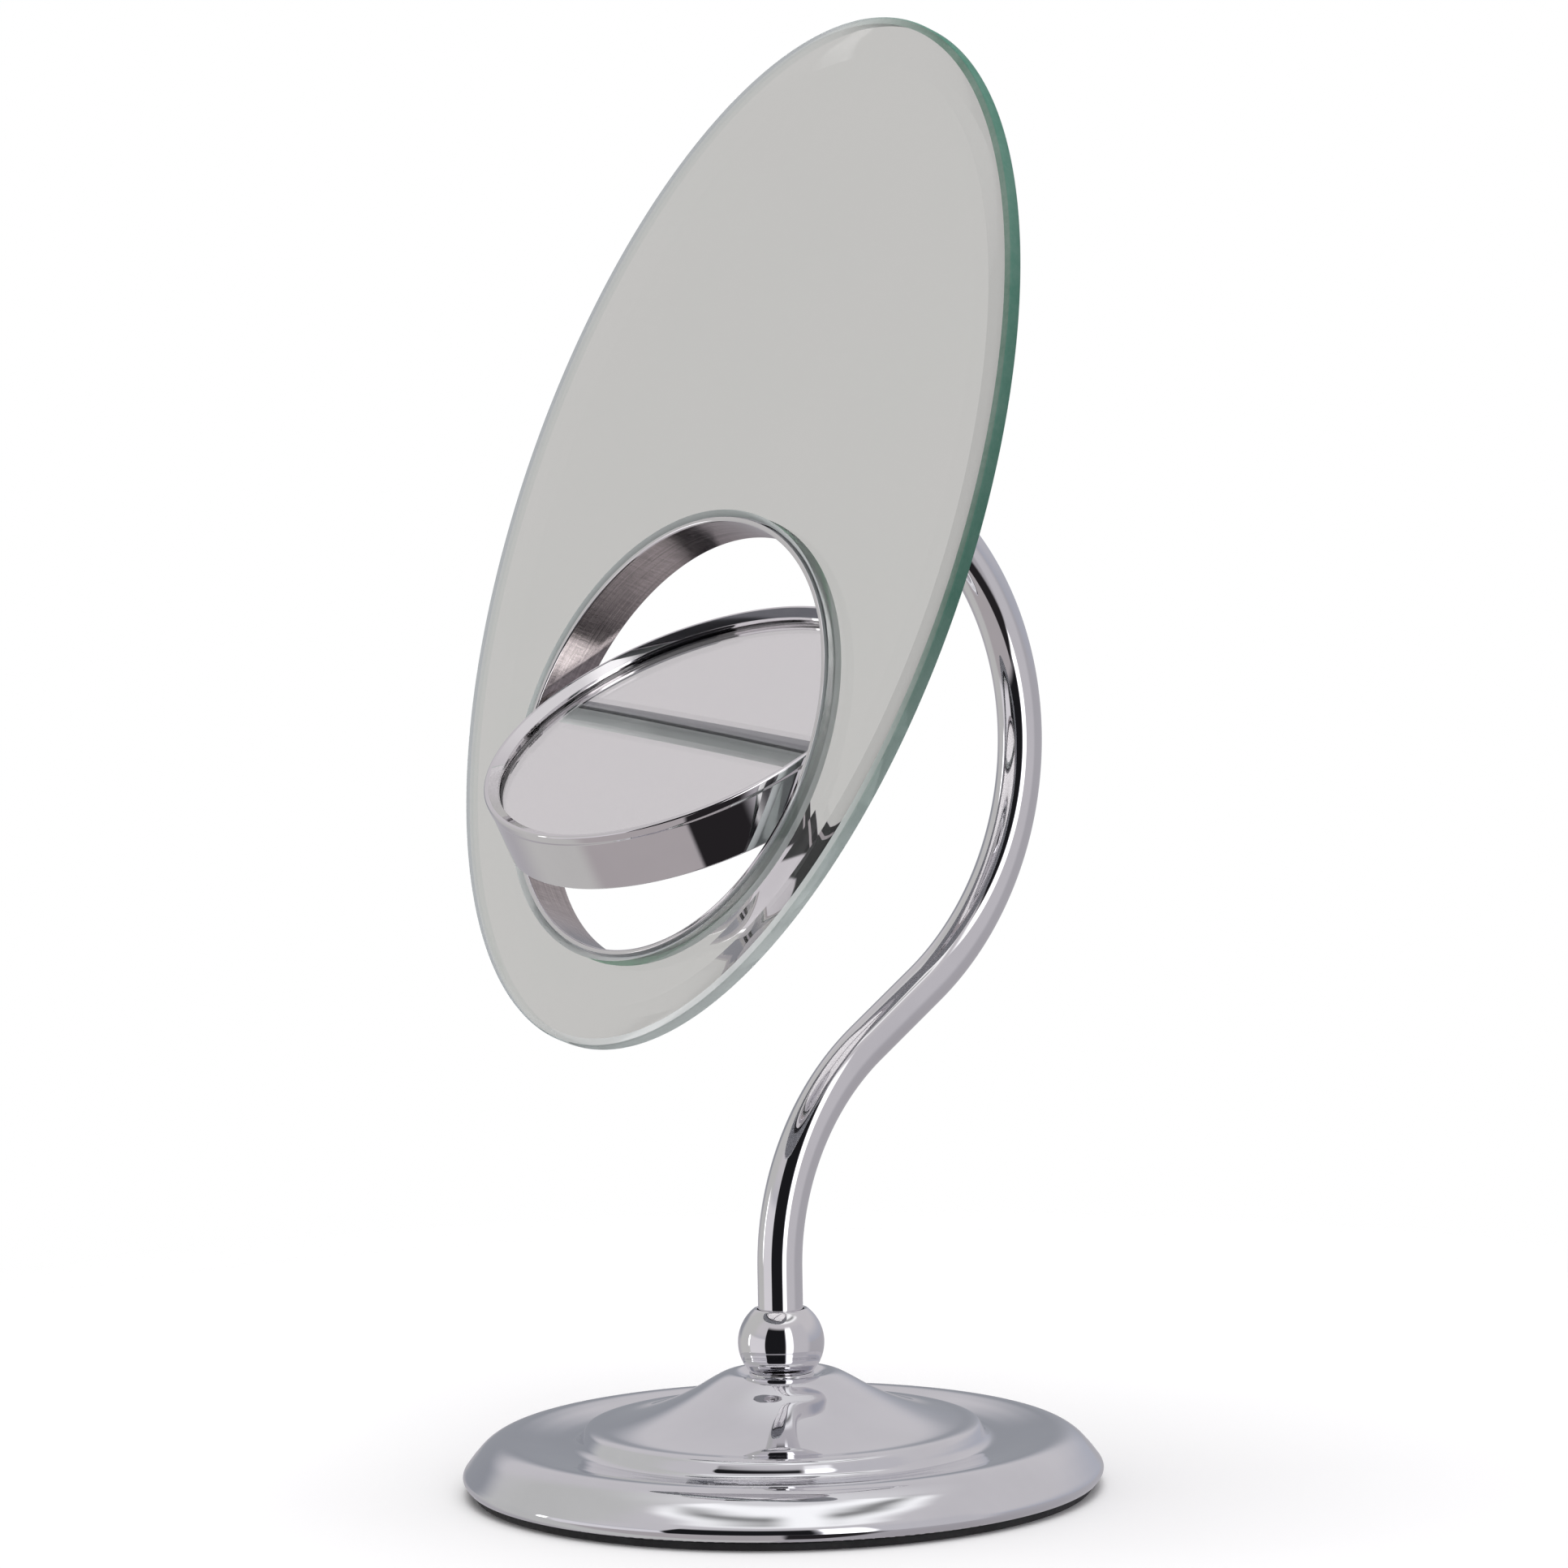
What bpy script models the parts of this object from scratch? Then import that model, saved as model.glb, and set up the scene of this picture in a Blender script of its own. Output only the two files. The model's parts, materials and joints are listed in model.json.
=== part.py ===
"""Countertop mirror: a bevelled oval mirror with a turning round insert on an S-shaped stem.

Units are metres, +Z is up and the mirror faces -Y. The origin is the centre of the base's
underside. The stem is bent in the plane X = 0. Behind the oval mirror the depth axis points
away from whoever looks into it.
"""

import math

import bmesh
import bpy
from mathutils import Matrix, Vector

MM = 0.001
GAP = 0.3 * MM  # clearance between pieces that touch

# base
BASE_RADIUS = 90.5 * MM
SHEET = 1.0 * MM
DOME_TOP = 31.6 * MM
DOME_FOOT_RADIUS = 54.0 * MM
DOME_FOOT = 18.5 * MM
FLANGE_RADIUS = 58.8 * MM
FLANGE = 13.3 * MM
RIM_ARC_CENTRE = 78.0 * MM
RIM_ARC_RADIUS = 10.9 * MM
RIM_FOOT = 2.5 * MM
PAD_RADIUS = 87.4 * MM
PAD = 2.2 * MM
WEIGHT_RADIUS = 81.0 * MM
WEIGHT_TOP = 11.0 * MM
WEIGHT_BOSS = 14.0 * MM
COUNTERBORE = 9.6 * MM
STUD_RADIUS = 3.0 * MM
STUD_TOP = 55.0 * MM
STUD_HOLE = 3.4 * MM

# stem
TUBE_RADIUS = 6.35 * MM
TUBE_WALL = 1.0 * MM
BALL_RADIUS = 12.2 * MM
BALL_HEIGHT = 41.6 * MM
BALL_FOOT = 33.6 * MM
BALL_SOCKET = 42.0 * MM
BALL_MOUTH_RADIUS = 7.5 * MM
LOWER_BEND_RADIUS = 73.0 * MM
LOWER_BEND_START = 62.5 * MM
UPPER_BEND_RADIUS = 83.0 * MM
UPPER_BEND_CENTRE = Vector((0.0, 8.4 * MM, 207.0 * MM))
TUBE_END_STRAIGHT = 14.0 * MM

# oval mirror
TILT = math.radians(22.0)
FACE_CENTRE = Vector((0.0, -13.9 * MM, 273.3 * MM))
OVAL_HALF_WIDTH = 102.0 * MM
OVAL_HALF_HEIGHT = 151.0 * MM
GLASS = 5.0 * MM
BEVEL_WIDTH = 13.0 * MM
BEVEL_DROP = 1.3 * MM
ARRIS = 0.4 * MM
BACKING = 0.5 * MM
BACKING_INSET = 1.2 * MM
HOLE_DROP = 61.3 * MM
HOLE_RADIUS = 64.0 * MM
HOLE_CHAMFER = 1.5 * MM

# ring lining the hole
RING_INNER = 62.2 * MM
RING_OUTER = 63.6 * MM
RING_DEPTH = 14.6 * MM
FLANGE_OUTER = 69.0 * MM
FLANGE_SHEET = 1.2 * MM

# tilt hinge
HINGE_DEPTH = 21.0 * MM
PLATE_RADIUS = 20.0 * MM
PLATE = 2.5 * MM
FOAM = 0.9 * MM
TONGUE = 5.0 * MM
TONGUE_HALF_HEIGHT = 5.5 * MM
SHOULDER = 2.0 * MM
WASHER = 1.0 * MM
EAR = 4.0 * MM
EAR_HALF_HEIGHT = 6.5 * MM
BOLT_RADIUS = 2.5 * MM
BOLT_HEAD_RADIUS = 4.9 * MM
NUT_HEIGHT = 4.5 * MM

# round insert
PIVOT_DEPTH = 10.4 * MM
PIVOT_SLOPE = math.radians(5.0)
INSERT_TURN = math.radians(40.0)
BAND_RADIUS = 59.3 * MM
BAND_HALF_WIDTH = 8.65 * MM
BAND_WALL = 1.4 * MM
LIP_RADIUS = 55.4 * MM
LIP_HEIGHT = 6.2 * MM
INSERT_GLASS_RADIUS = 57.5 * MM
PLAIN_GLASS = 2.9 * MM
CURVED_GLASS = 1.8 * MM
CURVED_GLASS_SAG = 1.6 * MM
CORE_RIM = 46.0 * MM
PIN_RADIUS = 1.5 * MM
PIN_END = 53.0 * MM
PIN_HEAD = 1.6 * MM
PIN_HEAD_RADIUS = 2.8 * MM

# facets round a whole turn
OVAL_SIDES = 80
WIDE_SIDES = 48
MIDDLE_SIDES = 24
SMALL_SIDES = 12

# looks: colour, metallic, roughness
CHROME = ((0.78, 0.78, 0.80), 1.0, 0.08)
STEEL = ((0.55, 0.55, 0.56), 1.0, 0.35)
IRON = ((0.16, 0.16, 0.17), 0.6, 0.6)
RUBBER = ((0.02, 0.02, 0.02), 0.0, 0.8)
NYLON = ((0.85, 0.85, 0.82), 0.0, 0.5)
PLASTIC = ((0.10, 0.10, 0.11), 0.0, 0.5)
PAINT = ((0.32, 0.33, 0.34), 0.0, 0.6)
MIRROR = ((0.75, 0.76, 0.75), 1.0, 0.03)
FOAM_TAPE = ((0.12, 0.12, 0.12), 0.0, 0.9)

UPRIGHT = (0.0, 0.0, 0.0)
TO_FRONT = (math.pi / 2.0, 0.0, 0.0)  # a turned piece's own +Z then points out of the mirror
TO_RIGHT = (0.0, math.pi / 2.0, 0.0)
ORIGIN = (0.0, 0.0, 0.0)

for old in list(bpy.data.objects):
    bpy.data.objects.remove(old, do_unlink=True)

MAIN = bpy.data.collections.new("countertop_mirror")
CUTTERS = bpy.data.collections.new("cutters")
bpy.context.scene.collection.children.link(MAIN)
bpy.context.scene.collection.children.link(CUTTERS)


# ---------------------------------------------------------------- modelling helpers


def add(name, data, look, parent, location, rotation):
    """Put an object in the model, or among the cutters where it has no look."""
    obj = bpy.data.objects.new(name, data)
    obj.parent = parent
    obj.location = location
    obj.rotation_euler = rotation
    if look is None:
        CUTTERS.objects.link(obj)
        obj.hide_render = True
        obj.display_type = "WIRE"
        return obj
    MAIN.objects.link(obj)
    colour, metallic, roughness = look
    mat = bpy.data.materials.new(name)
    mat.use_nodes = True
    shader = mat.node_tree.nodes["Principled BSDF"]
    shader.inputs["Base Color"].default_value = (*colour, 1.0)
    shader.inputs["Metallic"].default_value = metallic
    shader.inputs["Roughness"].default_value = roughness
    data.materials.append(mat)
    return obj


def axis(name, parent, location, rotation):
    """An empty that stands for one joint's axis or one piece's own frame."""
    empty = bpy.data.objects.new(name, None)
    MAIN.objects.link(empty)
    empty.parent = parent
    empty.location = location
    empty.rotation_euler = rotation
    return empty


def turned(name, outline, sides, look, parent=None, location=ORIGIN, rotation=UPRIGHT, wall=0.0):
    """A body turned about its own Z from an (r, z) outline, or a sheet of that outline."""
    count = len(outline)
    closed = wall == 0.0 and outline[0][0] > 0.0
    area = 0.0
    for (r0, z0), (r1, z1) in zip(outline, outline[1:] + outline[:1]):
        area += r0 * z1 - r1 * z0
    if area > 0.0 and wall == 0.0:
        outline = list(reversed(outline))
    edges = [(i, i + 1) for i in range(count - 1)]
    if closed:
        edges.append((count - 1, 0))
    mesh = bpy.data.meshes.new(name)
    mesh.from_pydata([(r, 0.0, z) for r, z in outline], edges, [])
    obj = add(name, mesh, look, parent, location, rotation)
    screw = obj.modifiers.new("turn", "SCREW")
    screw.axis = "Z"
    screw.steps = sides
    screw.render_steps = sides
    screw.use_merge_vertices = True
    screw.merge_threshold = 0.00001
    screw.use_smooth_shade = True
    if wall > 0.0:
        sheet = obj.modifiers.new("sheet", "SOLIDIFY")
        sheet.thickness = wall
        sheet.offset = -1.0
        sheet.use_even_offset = True
    return obj


def tube(name, points, radius, wall, resolution, look):
    """A tube of round section along a list of points."""
    curve = bpy.data.curves.new(name, "CURVE")
    curve.dimensions = "3D"
    curve.twist_mode = "MINIMUM"
    curve.bevel_depth = radius
    curve.bevel_resolution = resolution
    curve.use_fill_caps = False
    spline = curve.splines.new("POLY")
    spline.points.add(len(points) - 1)
    for slot, point in zip(spline.points, points):
        slot.co = (*point, 1.0)
    obj = add(name, curve, look, None, ORIGIN, UPRIGHT)
    sheet = obj.modifiers.new("wall", "SOLIDIFY")
    sheet.thickness = wall
    sheet.offset = -1.0
    sheet.use_even_offset = True
    return obj


def tab(name, root, half_height, thickness, parent, location):
    """A flat lug in the (y, z) plane from y = root to a round end about its origin, a mesh."""
    outline = [(root, -half_height), (root, half_height)]
    away = math.copysign(1.0, -root)
    steps = 10
    for i in range(steps + 1):
        a = math.pi / 2.0 - math.pi * i / steps
        outline.append((away * half_height * math.cos(a), half_height * math.sin(a)))
    curve = bpy.data.curves.new(name, "CURVE")
    curve.dimensions = "2D"
    curve.fill_mode = "BOTH"
    curve.extrude = thickness / 2.0
    spline = curve.splines.new("POLY")
    spline.points.add(len(outline) - 1)
    for slot, (y, z) in zip(spline.points, outline):
        slot.co = (y, z, 0.0, 1.0)
    spline.use_cyclic_u = True
    flat = add(name, curve, None, parent, location, UPRIGHT)
    flat.rotation_euler = Matrix(((0, 0, 1), (1, 0, 0), (0, 1, 0))).to_euler()
    bpy.context.view_layer.update()
    shaped = flat.evaluated_get(bpy.context.evaluated_depsgraph_get())
    mesh = bpy.data.meshes.new_from_object(shaped)
    bm = bmesh.new()
    bm.from_mesh(mesh)
    bmesh.ops.remove_doubles(bm, verts=bm.verts, dist=0.00001)
    bmesh.ops.recalc_face_normals(bm, faces=bm.faces)
    bm.to_mesh(mesh)
    bm.free()
    solid = add(name + "_solid", mesh, None, parent, flat.location, UPRIGHT)
    solid.rotation_euler = flat.rotation_euler
    bpy.data.objects.remove(flat, do_unlink=True)
    return solid


def plate(name, loops, look, parent, location):
    """A body lofted through closed loops of equal length, its two ends filled flat."""
    bm = bmesh.new()
    rows = [[bm.verts.new(point) for point in loop] for loop in loops]
    count = len(rows[0])
    for low, high in zip(rows, rows[1:]):
        for i in range(count):
            j = (i + 1) % count
            bm.faces.new((low[i], low[j], high[j], high[i]))
    bm.faces.new(rows[0])
    bm.faces.new(rows[-1])
    bmesh.ops.recalc_face_normals(bm, faces=bm.faces)
    mesh = bpy.data.meshes.new(name)
    bm.to_mesh(mesh)
    bm.free()
    return add(name, mesh, look, parent, location, UPRIGHT)


def hexagon(name, across_flats, low, high, look, parent, location, rotation):
    """A hexagonal block about its own Z."""
    bm = bmesh.new()
    corner = across_flats / 2.0 / math.cos(math.pi / 6.0)
    middle = Matrix.Translation((0.0, 0.0, (low + high) / 2.0))
    bmesh.ops.create_cone(
        bm,
        cap_ends=True,
        segments=6,
        radius1=corner,
        radius2=corner,
        depth=high - low,
        matrix=middle,
    )
    mesh = bpy.data.meshes.new(name)
    bm.to_mesh(mesh)
    bm.free()
    return add(name, mesh, look, parent, location, rotation)


def combine(obj, tool, operation):
    """Cut one object by another, or join the other to it."""
    modifier = obj.modifiers.new(operation.lower(), "BOOLEAN")
    modifier.operation = operation
    modifier.solver = "EXACT"
    modifier.object = tool


def rod(radius, low, high):
    """The outline of a plain round bar."""
    return [(0.0, high), (radius, high), (radius, low), (0.0, low)]


def sleeve(inner, outer, low, high):
    """The outline of a plain ring or bush."""
    return [(inner, high), (outer, high), (outer, low), (inner, low)]


def arc(centre, radius, start, end, steps):
    """Points of an arc about an (r, z) centre, angles in radians from +r towards +z."""
    points = []
    for i in range(steps + 1):
        a = start + (end - start) * i / steps
        points.append((centre[0] + radius * math.cos(a), centre[1] + radius * math.sin(a)))
    return points


# ---------------------------------------------------------------- base


def base_outline():
    """The outside of the pressed base, from the stud hole out and down to the rim."""
    shoulder = (16.2 * MM, DOME_TOP + 1.2 * MM)
    points = [(STUD_HOLE, DOME_TOP), (10.4 * MM, DOME_TOP), (11.8 * MM, DOME_TOP + 1.3 * MM)]
    points.append((13.6 * MM, DOME_TOP + 1.7 * MM))
    points.append(shoulder)
    steps = 5
    for i in range(1, steps + 1):
        out = i / steps
        r = shoulder[0] + (DOME_FOOT_RADIUS - shoulder[0]) * out
        z = DOME_FOOT + (shoulder[1] - DOME_FOOT) * (1.0 - out) ** 1.75
        points.append((r, z))
    points.append((DOME_FOOT_RADIUS + 1.6 * MM, DOME_FOOT - 1.1 * MM))
    points.append((FLANGE_RADIUS - 1.6 * MM, FLANGE + 0.9 * MM))
    points.append((FLANGE_RADIUS, FLANGE))
    centre = (RIM_ARC_CENTRE, FLANGE + 2.2 * MM - RIM_ARC_RADIUS)
    points += arc(centre, RIM_ARC_RADIUS, math.radians(88.0), math.radians(22.0), 4)
    points.append((BASE_RADIUS - 0.7 * MM, 6.6 * MM))
    points.append((BASE_RADIUS, 5.2 * MM))
    points.append((BASE_RADIUS - 0.3 * MM, 3.9 * MM))
    points.append((BASE_RADIUS - 1.4 * MM, RIM_FOOT))
    return points


def make_base():
    """Pressed shell, cast weight, non-slip pad and the parts of the clamp inside them."""
    turned("base_shell", base_outline(), WIDE_SIDES, CHROME, wall=SHEET)
    edge = 0.5 * MM
    pad = [(0.0, PAD), (PAD_RADIUS, PAD), (PAD_RADIUS, edge), (PAD_RADIUS - edge, 0.0), (0.0, 0.0)]
    turned("base_pad", pad, WIDE_SIDES, RUBBER)
    slope = 5.0 * MM
    boss = 14.0 * MM
    counterbore = 10.0 * MM
    weight = [
        (STUD_HOLE, WEIGHT_BOSS),
        (boss, WEIGHT_BOSS),
        (boss, WEIGHT_TOP),
        (WEIGHT_RADIUS - slope, WEIGHT_TOP),
        (WEIGHT_RADIUS, WEIGHT_TOP - slope),
        (WEIGHT_RADIUS, PAD + GAP),
        (counterbore, PAD + GAP),
        (counterbore, COUNTERBORE),
        (STUD_HOLE, COUNTERBORE),
    ]
    turned("base_weight", weight, WIDE_SIDES, IRON)
    spacer = sleeve(STUD_HOLE, 8.0 * MM, WEIGHT_BOSS + GAP, DOME_TOP - SHEET - GAP)
    turned("base_spacer", spacer, SMALL_SIDES, STEEL)
    seat_radius = 9.2 * MM
    low = DOME_TOP + GAP
    high = BALL_FOOT - GAP
    seat = [
        (STUD_HOLE, high),
        (seat_radius - edge, high),
        (seat_radius, high - edge),
        (seat_radius, low + edge),
        (seat_radius - edge, low),
        (STUD_HOLE, low),
    ]
    turned("seat_ring", seat, MIDDLE_SIDES, CHROME)


def make_stud():
    """The stud that clamps the stem to the base, with its washer and nut in the weight."""
    washer_top = COUNTERBORE - GAP
    washer_foot = washer_top - 1.2 * MM
    washer = sleeve(STUD_RADIUS + GAP, 8.0 * MM, washer_foot, washer_top)
    turned("stud_washer", washer, SMALL_SIDES, STEEL)
    nut_top = washer_foot - GAP
    nut_foot = nut_top - 5.0 * MM
    nut = hexagon("stud_nut", 10.0 * MM, nut_foot, nut_top, STEEL, None, ORIGIN, UPRIGHT)
    thread = rod(STUD_RADIUS + GAP, nut_foot - MM, nut_top + MM)
    combine(nut, turned("stud_nut_bore", thread, SMALL_SIDES, None), "DIFFERENCE")
    chamfer = 0.5 * MM
    stud = [
        (0.0, STUD_TOP),
        (STUD_RADIUS - chamfer, STUD_TOP),
        (STUD_RADIUS, STUD_TOP - chamfer),
        (STUD_RADIUS, nut_foot + chamfer),
        (STUD_RADIUS - chamfer, nut_foot),
        (0.0, nut_foot),
    ]
    turned("stem_stud", stud, SMALL_SIDES, STEEL)


# ---------------------------------------------------------------- stem


def stem_points(end):
    """The tube's centre line: straight foot, two bends and a straight end."""
    lower = Vector((0.0, LOWER_BEND_RADIUS, LOWER_BEND_START))
    between = UPPER_BEND_CENTRE - lower
    lean = math.atan2(-between.y, between.z)
    slack = math.acos((LOWER_BEND_RADIUS + UPPER_BEND_RADIUS) / between.length)
    turn = math.pi / 2.0 - lean - slack
    points = [Vector((0.0, 0.0, BALL_SOCKET + GAP))]
    steps = 7
    for i in range(steps + 1):
        a = turn * i / steps
        points.append(lower + LOWER_BEND_RADIUS * Vector((0.0, -math.cos(a), math.sin(a))))
    steps = 16
    last = TILT - math.pi / 2.0
    for i in range(steps + 1):
        a = turn + (last - turn) * i / steps
        way = Vector((0.0, math.cos(a), -math.sin(a)))
        points.append(UPPER_BEND_CENTRE + UPPER_BEND_RADIUS * way)
    points.append(end)
    return points


def make_stem(end):
    """Ball, tube and the plug inside the tube's foot."""
    foot = math.asin((BALL_FOOT - BALL_HEIGHT) / BALL_RADIUS)
    mouth = math.acos(BALL_MOUTH_RADIUS / BALL_RADIUS)
    ball = arc((0.0, BALL_HEIGHT), BALL_RADIUS, mouth, foot, 8)
    socket = TUBE_RADIUS + GAP
    ball += [(STUD_HOLE, BALL_FOOT), (STUD_HOLE, BALL_SOCKET), (socket, BALL_SOCKET)]
    ball.append((socket, BALL_HEIGHT + BALL_RADIUS * math.sin(mouth)))
    turned("stem_ball", ball, MIDDLE_SIDES, CHROME)
    tube("stem_tube", stem_points(end), TUBE_RADIUS, TUBE_WALL, 6, CHROME)
    bore = TUBE_RADIUS - TUBE_WALL - 2.0 * GAP
    plug = sleeve(STUD_RADIUS + GAP, bore, BALL_SOCKET + GAP, STUD_TOP + MM)
    turned("stem_foot_plug", plug, SMALL_SIDES, STEEL)


# ---------------------------------------------------------------- tilt hinge

FACE_FRAME = Matrix.Translation(FACE_CENTRE) @ Matrix.Rotation(-TILT, 4, "X")
BEND_TOP = Vector((0.0, math.sin(TILT), math.cos(TILT)))
BEND_END = FACE_FRAME.inverted() @ (UPPER_BEND_CENTRE + UPPER_BEND_RADIUS * BEND_TOP)
HINGE_HEIGHT = BEND_END.z  # above the middle of the face
TUBE_END_DEPTH = BEND_END.y - TUBE_END_STRAIGHT
TUBE_END = FACE_FRAME @ Vector((0.0, TUBE_END_DEPTH, HINGE_HEIGHT))
BOLT_HOLE = BOLT_RADIUS + GAP
EAR_INNER = TONGUE / 2.0 + WASHER + 2.0 * GAP
EAR_OUTER = EAR_INNER + EAR
LAYER_DEPTH = GLASS + BACKING + 2.0 * GAP  # back of the painted glass
PLATE_BACK = LAYER_DEPTH + FOAM + GAP + PLATE


def make_stem_head():
    """The fitting in the tube's upper end: plug, shoulder and the tongue of the hinge."""
    inside = TUBE_RADIUS - TUBE_WALL - 2.0 * GAP
    chamfer = 0.4 * MM
    front = SHOULDER + GAP
    outline = [
        (0.0, front),
        (TUBE_RADIUS - chamfer, front),
        (TUBE_RADIUS, front - chamfer),
        (TUBE_RADIUS, GAP),
        (inside, GAP),
        (inside, -11.0 * MM),
        (0.0, -11.0 * MM),
    ]
    leaning = (math.pi / 2.0 - TILT, 0.0, 0.0)
    head = turned("stem_head", outline, 16, CHROME, None, TUBE_END, leaning)
    pivot = axis("stem_head_pivot", None, HINGE_AXIS.location, HINGE_AXIS.rotation_euler)
    root = TUBE_END_DEPTH - HINGE_DEPTH - GAP - SHOULDER / 2.0
    combine(head, tab("tongue", root, TONGUE_HALF_HEIGHT, TONGUE, pivot, ORIGIN), "UNION")
    bore = rod(BOLT_HOLE, -TONGUE, TONGUE)
    cutter = turned("tongue_bore", bore, SMALL_SIDES, None, pivot, ORIGIN, TO_RIGHT)
    combine(head, cutter, "DIFFERENCE")


def make_bracket():
    """The plate stuck to the back of the glass, with two ears for the hinge bolt."""
    chamfer = 0.8 * MM
    low = HINGE_DEPTH - PLATE_BACK
    high = low + PLATE
    outline = [
        (0.0, high),
        (PLATE_RADIUS, high),
        (PLATE_RADIUS, low + chamfer),
        (PLATE_RADIUS - chamfer, low),
        (0.0, low),
    ]
    bracket = turned("hinge_bracket", outline, MIDDLE_SIDES, CHROME, HINGE_AXIS, ORIGIN, TO_FRONT)
    root = PLATE_BACK - HINGE_DEPTH - MM
    for side in (-1.0, 1.0):
        middle = (side * (EAR_INNER + EAR_OUTER) / 2.0, 0.0, 0.0)
        ear = tab("ear", root, EAR_HALF_HEIGHT, EAR, HINGE_AXIS, middle)
        combine(bracket, ear, "UNION")
    bore = rod(BOLT_HOLE, -2.0 * EAR_OUTER, 2.0 * EAR_OUTER)
    cutter = turned("ear_bore", bore, SMALL_SIDES, None, HINGE_AXIS, ORIGIN, TO_RIGHT)
    combine(bracket, cutter, "DIFFERENCE")
    foam = rod(PLATE_RADIUS - chamfer, high + GAP, high + GAP + FOAM)
    turned("hinge_pad", foam, MIDDLE_SIDES, FOAM_TAPE, HINGE_AXIS, ORIGIN, TO_FRONT)


def make_hinge_bolt():
    """Friction washers beside the tongue, and the bolt and nut that squeeze them."""
    for tag, side in (("left", -1.0), ("right", 1.0)):
        near = TONGUE / 2.0 + GAP
        low = min(side * near, side * (near + WASHER))
        ring = sleeve(BOLT_HOLE, TONGUE_HALF_HEIGHT, low, low + WASHER)
        name = "hinge_washer_" + tag
        turned(name, ring, SMALL_SIDES, NYLON, HINGE_AXIS, ORIGIN, TO_RIGHT)
    nut_near = EAR_OUTER + GAP
    nut_far = nut_near + NUT_HEIGHT
    dome = 3.2 * MM
    bolt = [
        (0.0, nut_far + MM),
        (BOLT_RADIUS - 0.4 * MM, nut_far + MM),
        (BOLT_RADIUS, nut_far + 0.6 * MM),
        (BOLT_RADIUS, -nut_near),
        (BOLT_HEAD_RADIUS, -nut_near),
        (BOLT_HEAD_RADIUS - 0.2 * MM, -nut_near - 0.5 * dome),
        (BOLT_HEAD_RADIUS - 1.7 * MM, -nut_near - 0.95 * dome),
        (0.0, -nut_near - dome),
    ]
    turned("hinge_bolt", bolt, SMALL_SIDES, STEEL, HINGE_AXIS, ORIGIN, TO_RIGHT)
    nut = hexagon(
        "hinge_nut", 8.0 * MM, nut_near, nut_far, STEEL, HINGE_AXIS, ORIGIN, TO_RIGHT
    )
    bore = rod(BOLT_HOLE, nut_near - MM, nut_far + MM)
    cutter = turned("hinge_nut_bore", bore, SMALL_SIDES, None, HINGE_AXIS, ORIGIN, TO_RIGHT)
    combine(nut, cutter, "DIFFERENCE")


# ---------------------------------------------------------------- oval mirror


def oval(inset, depth):
    """The oval outline moved inwards by inset, at a depth behind the face."""
    loop = []
    for i in range(OVAL_SIDES):
        a = 2.0 * math.pi * i / OVAL_SIDES
        x = OVAL_HALF_WIDTH * math.cos(a)
        z = OVAL_HALF_HEIGHT * math.sin(a)
        out = Vector((OVAL_HALF_HEIGHT * math.cos(a), OVAL_HALF_WIDTH * math.sin(a))).normalized()
        loop.append((x - out.x * inset, depth, z - out.y * inset))
    return loop


def make_mirror():
    """The bevelled glass and the painted film on its back, both cut by the hole."""
    middle = (0.0, -HINGE_DEPTH, -HINGE_HEIGHT)
    loops = [
        oval(BEVEL_WIDTH, 0.0),
        oval(ARRIS, BEVEL_DROP),
        oval(0.0, BEVEL_DROP + ARRIS),
        oval(0.0, GLASS - ARRIS),
        oval(ARRIS, GLASS),
    ]
    glass = plate("mirror_glass", loops, MIRROR, HINGE_AXIS, middle)
    beyond = 4.0 * MM
    hole = [
        (0.0, beyond),
        (HOLE_RADIUS + HOLE_CHAMFER + beyond, beyond),
        (HOLE_RADIUS, -HOLE_CHAMFER),
        (HOLE_RADIUS, -GLASS - beyond),
        (0.0, -GLASS - beyond),
    ]
    cutter = turned("glass_hole", hole, WIDE_SIDES, None, HOLE_AXIS, ORIGIN, TO_FRONT)
    combine(glass, cutter, "DIFFERENCE")
    film = [oval(BACKING_INSET, GLASS + GAP), oval(BACKING_INSET, GLASS + GAP + BACKING)]
    backing = plate("mirror_backing", film, PAINT, HINGE_AXIS, middle)
    hole = rod(HOLE_RADIUS + 0.5 * MM, -GLASS - beyond, beyond)
    cutter = turned("film_hole", hole, WIDE_SIDES, None, HOLE_AXIS, ORIGIN, TO_FRONT)
    combine(backing, cutter, "DIFFERENCE")


def make_hole_ring():
    """The chrome ring through the hole, held by a flange behind the glass."""
    lip = 0.3 * MM
    flange_back = LAYER_DEPTH + FLANGE_SHEET
    outline = [
        (RING_INNER + 0.5 * MM, -0.2 * MM),
        (RING_OUTER - lip, -0.2 * MM),
        (RING_OUTER, -0.2 * MM - lip),
        (RING_OUTER, -LAYER_DEPTH),
        (FLANGE_OUTER, -LAYER_DEPTH),
        (FLANGE_OUTER, -flange_back),
        (RING_OUTER, -flange_back),
        (RING_OUTER, -RING_DEPTH + lip),
        (RING_OUTER - lip, -RING_DEPTH),
        (RING_INNER + lip, -RING_DEPTH),
        (RING_INNER, -RING_DEPTH + lip),
        (RING_INNER, -0.7 * MM),
    ]
    ring = turned("hole_ring", outline, WIDE_SIDES, CHROME, HOLE_AXIS, ORIGIN, TO_FRONT)
    combine(ring, PIVOT_BORE, "DIFFERENCE")


# ---------------------------------------------------------------- round insert


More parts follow.
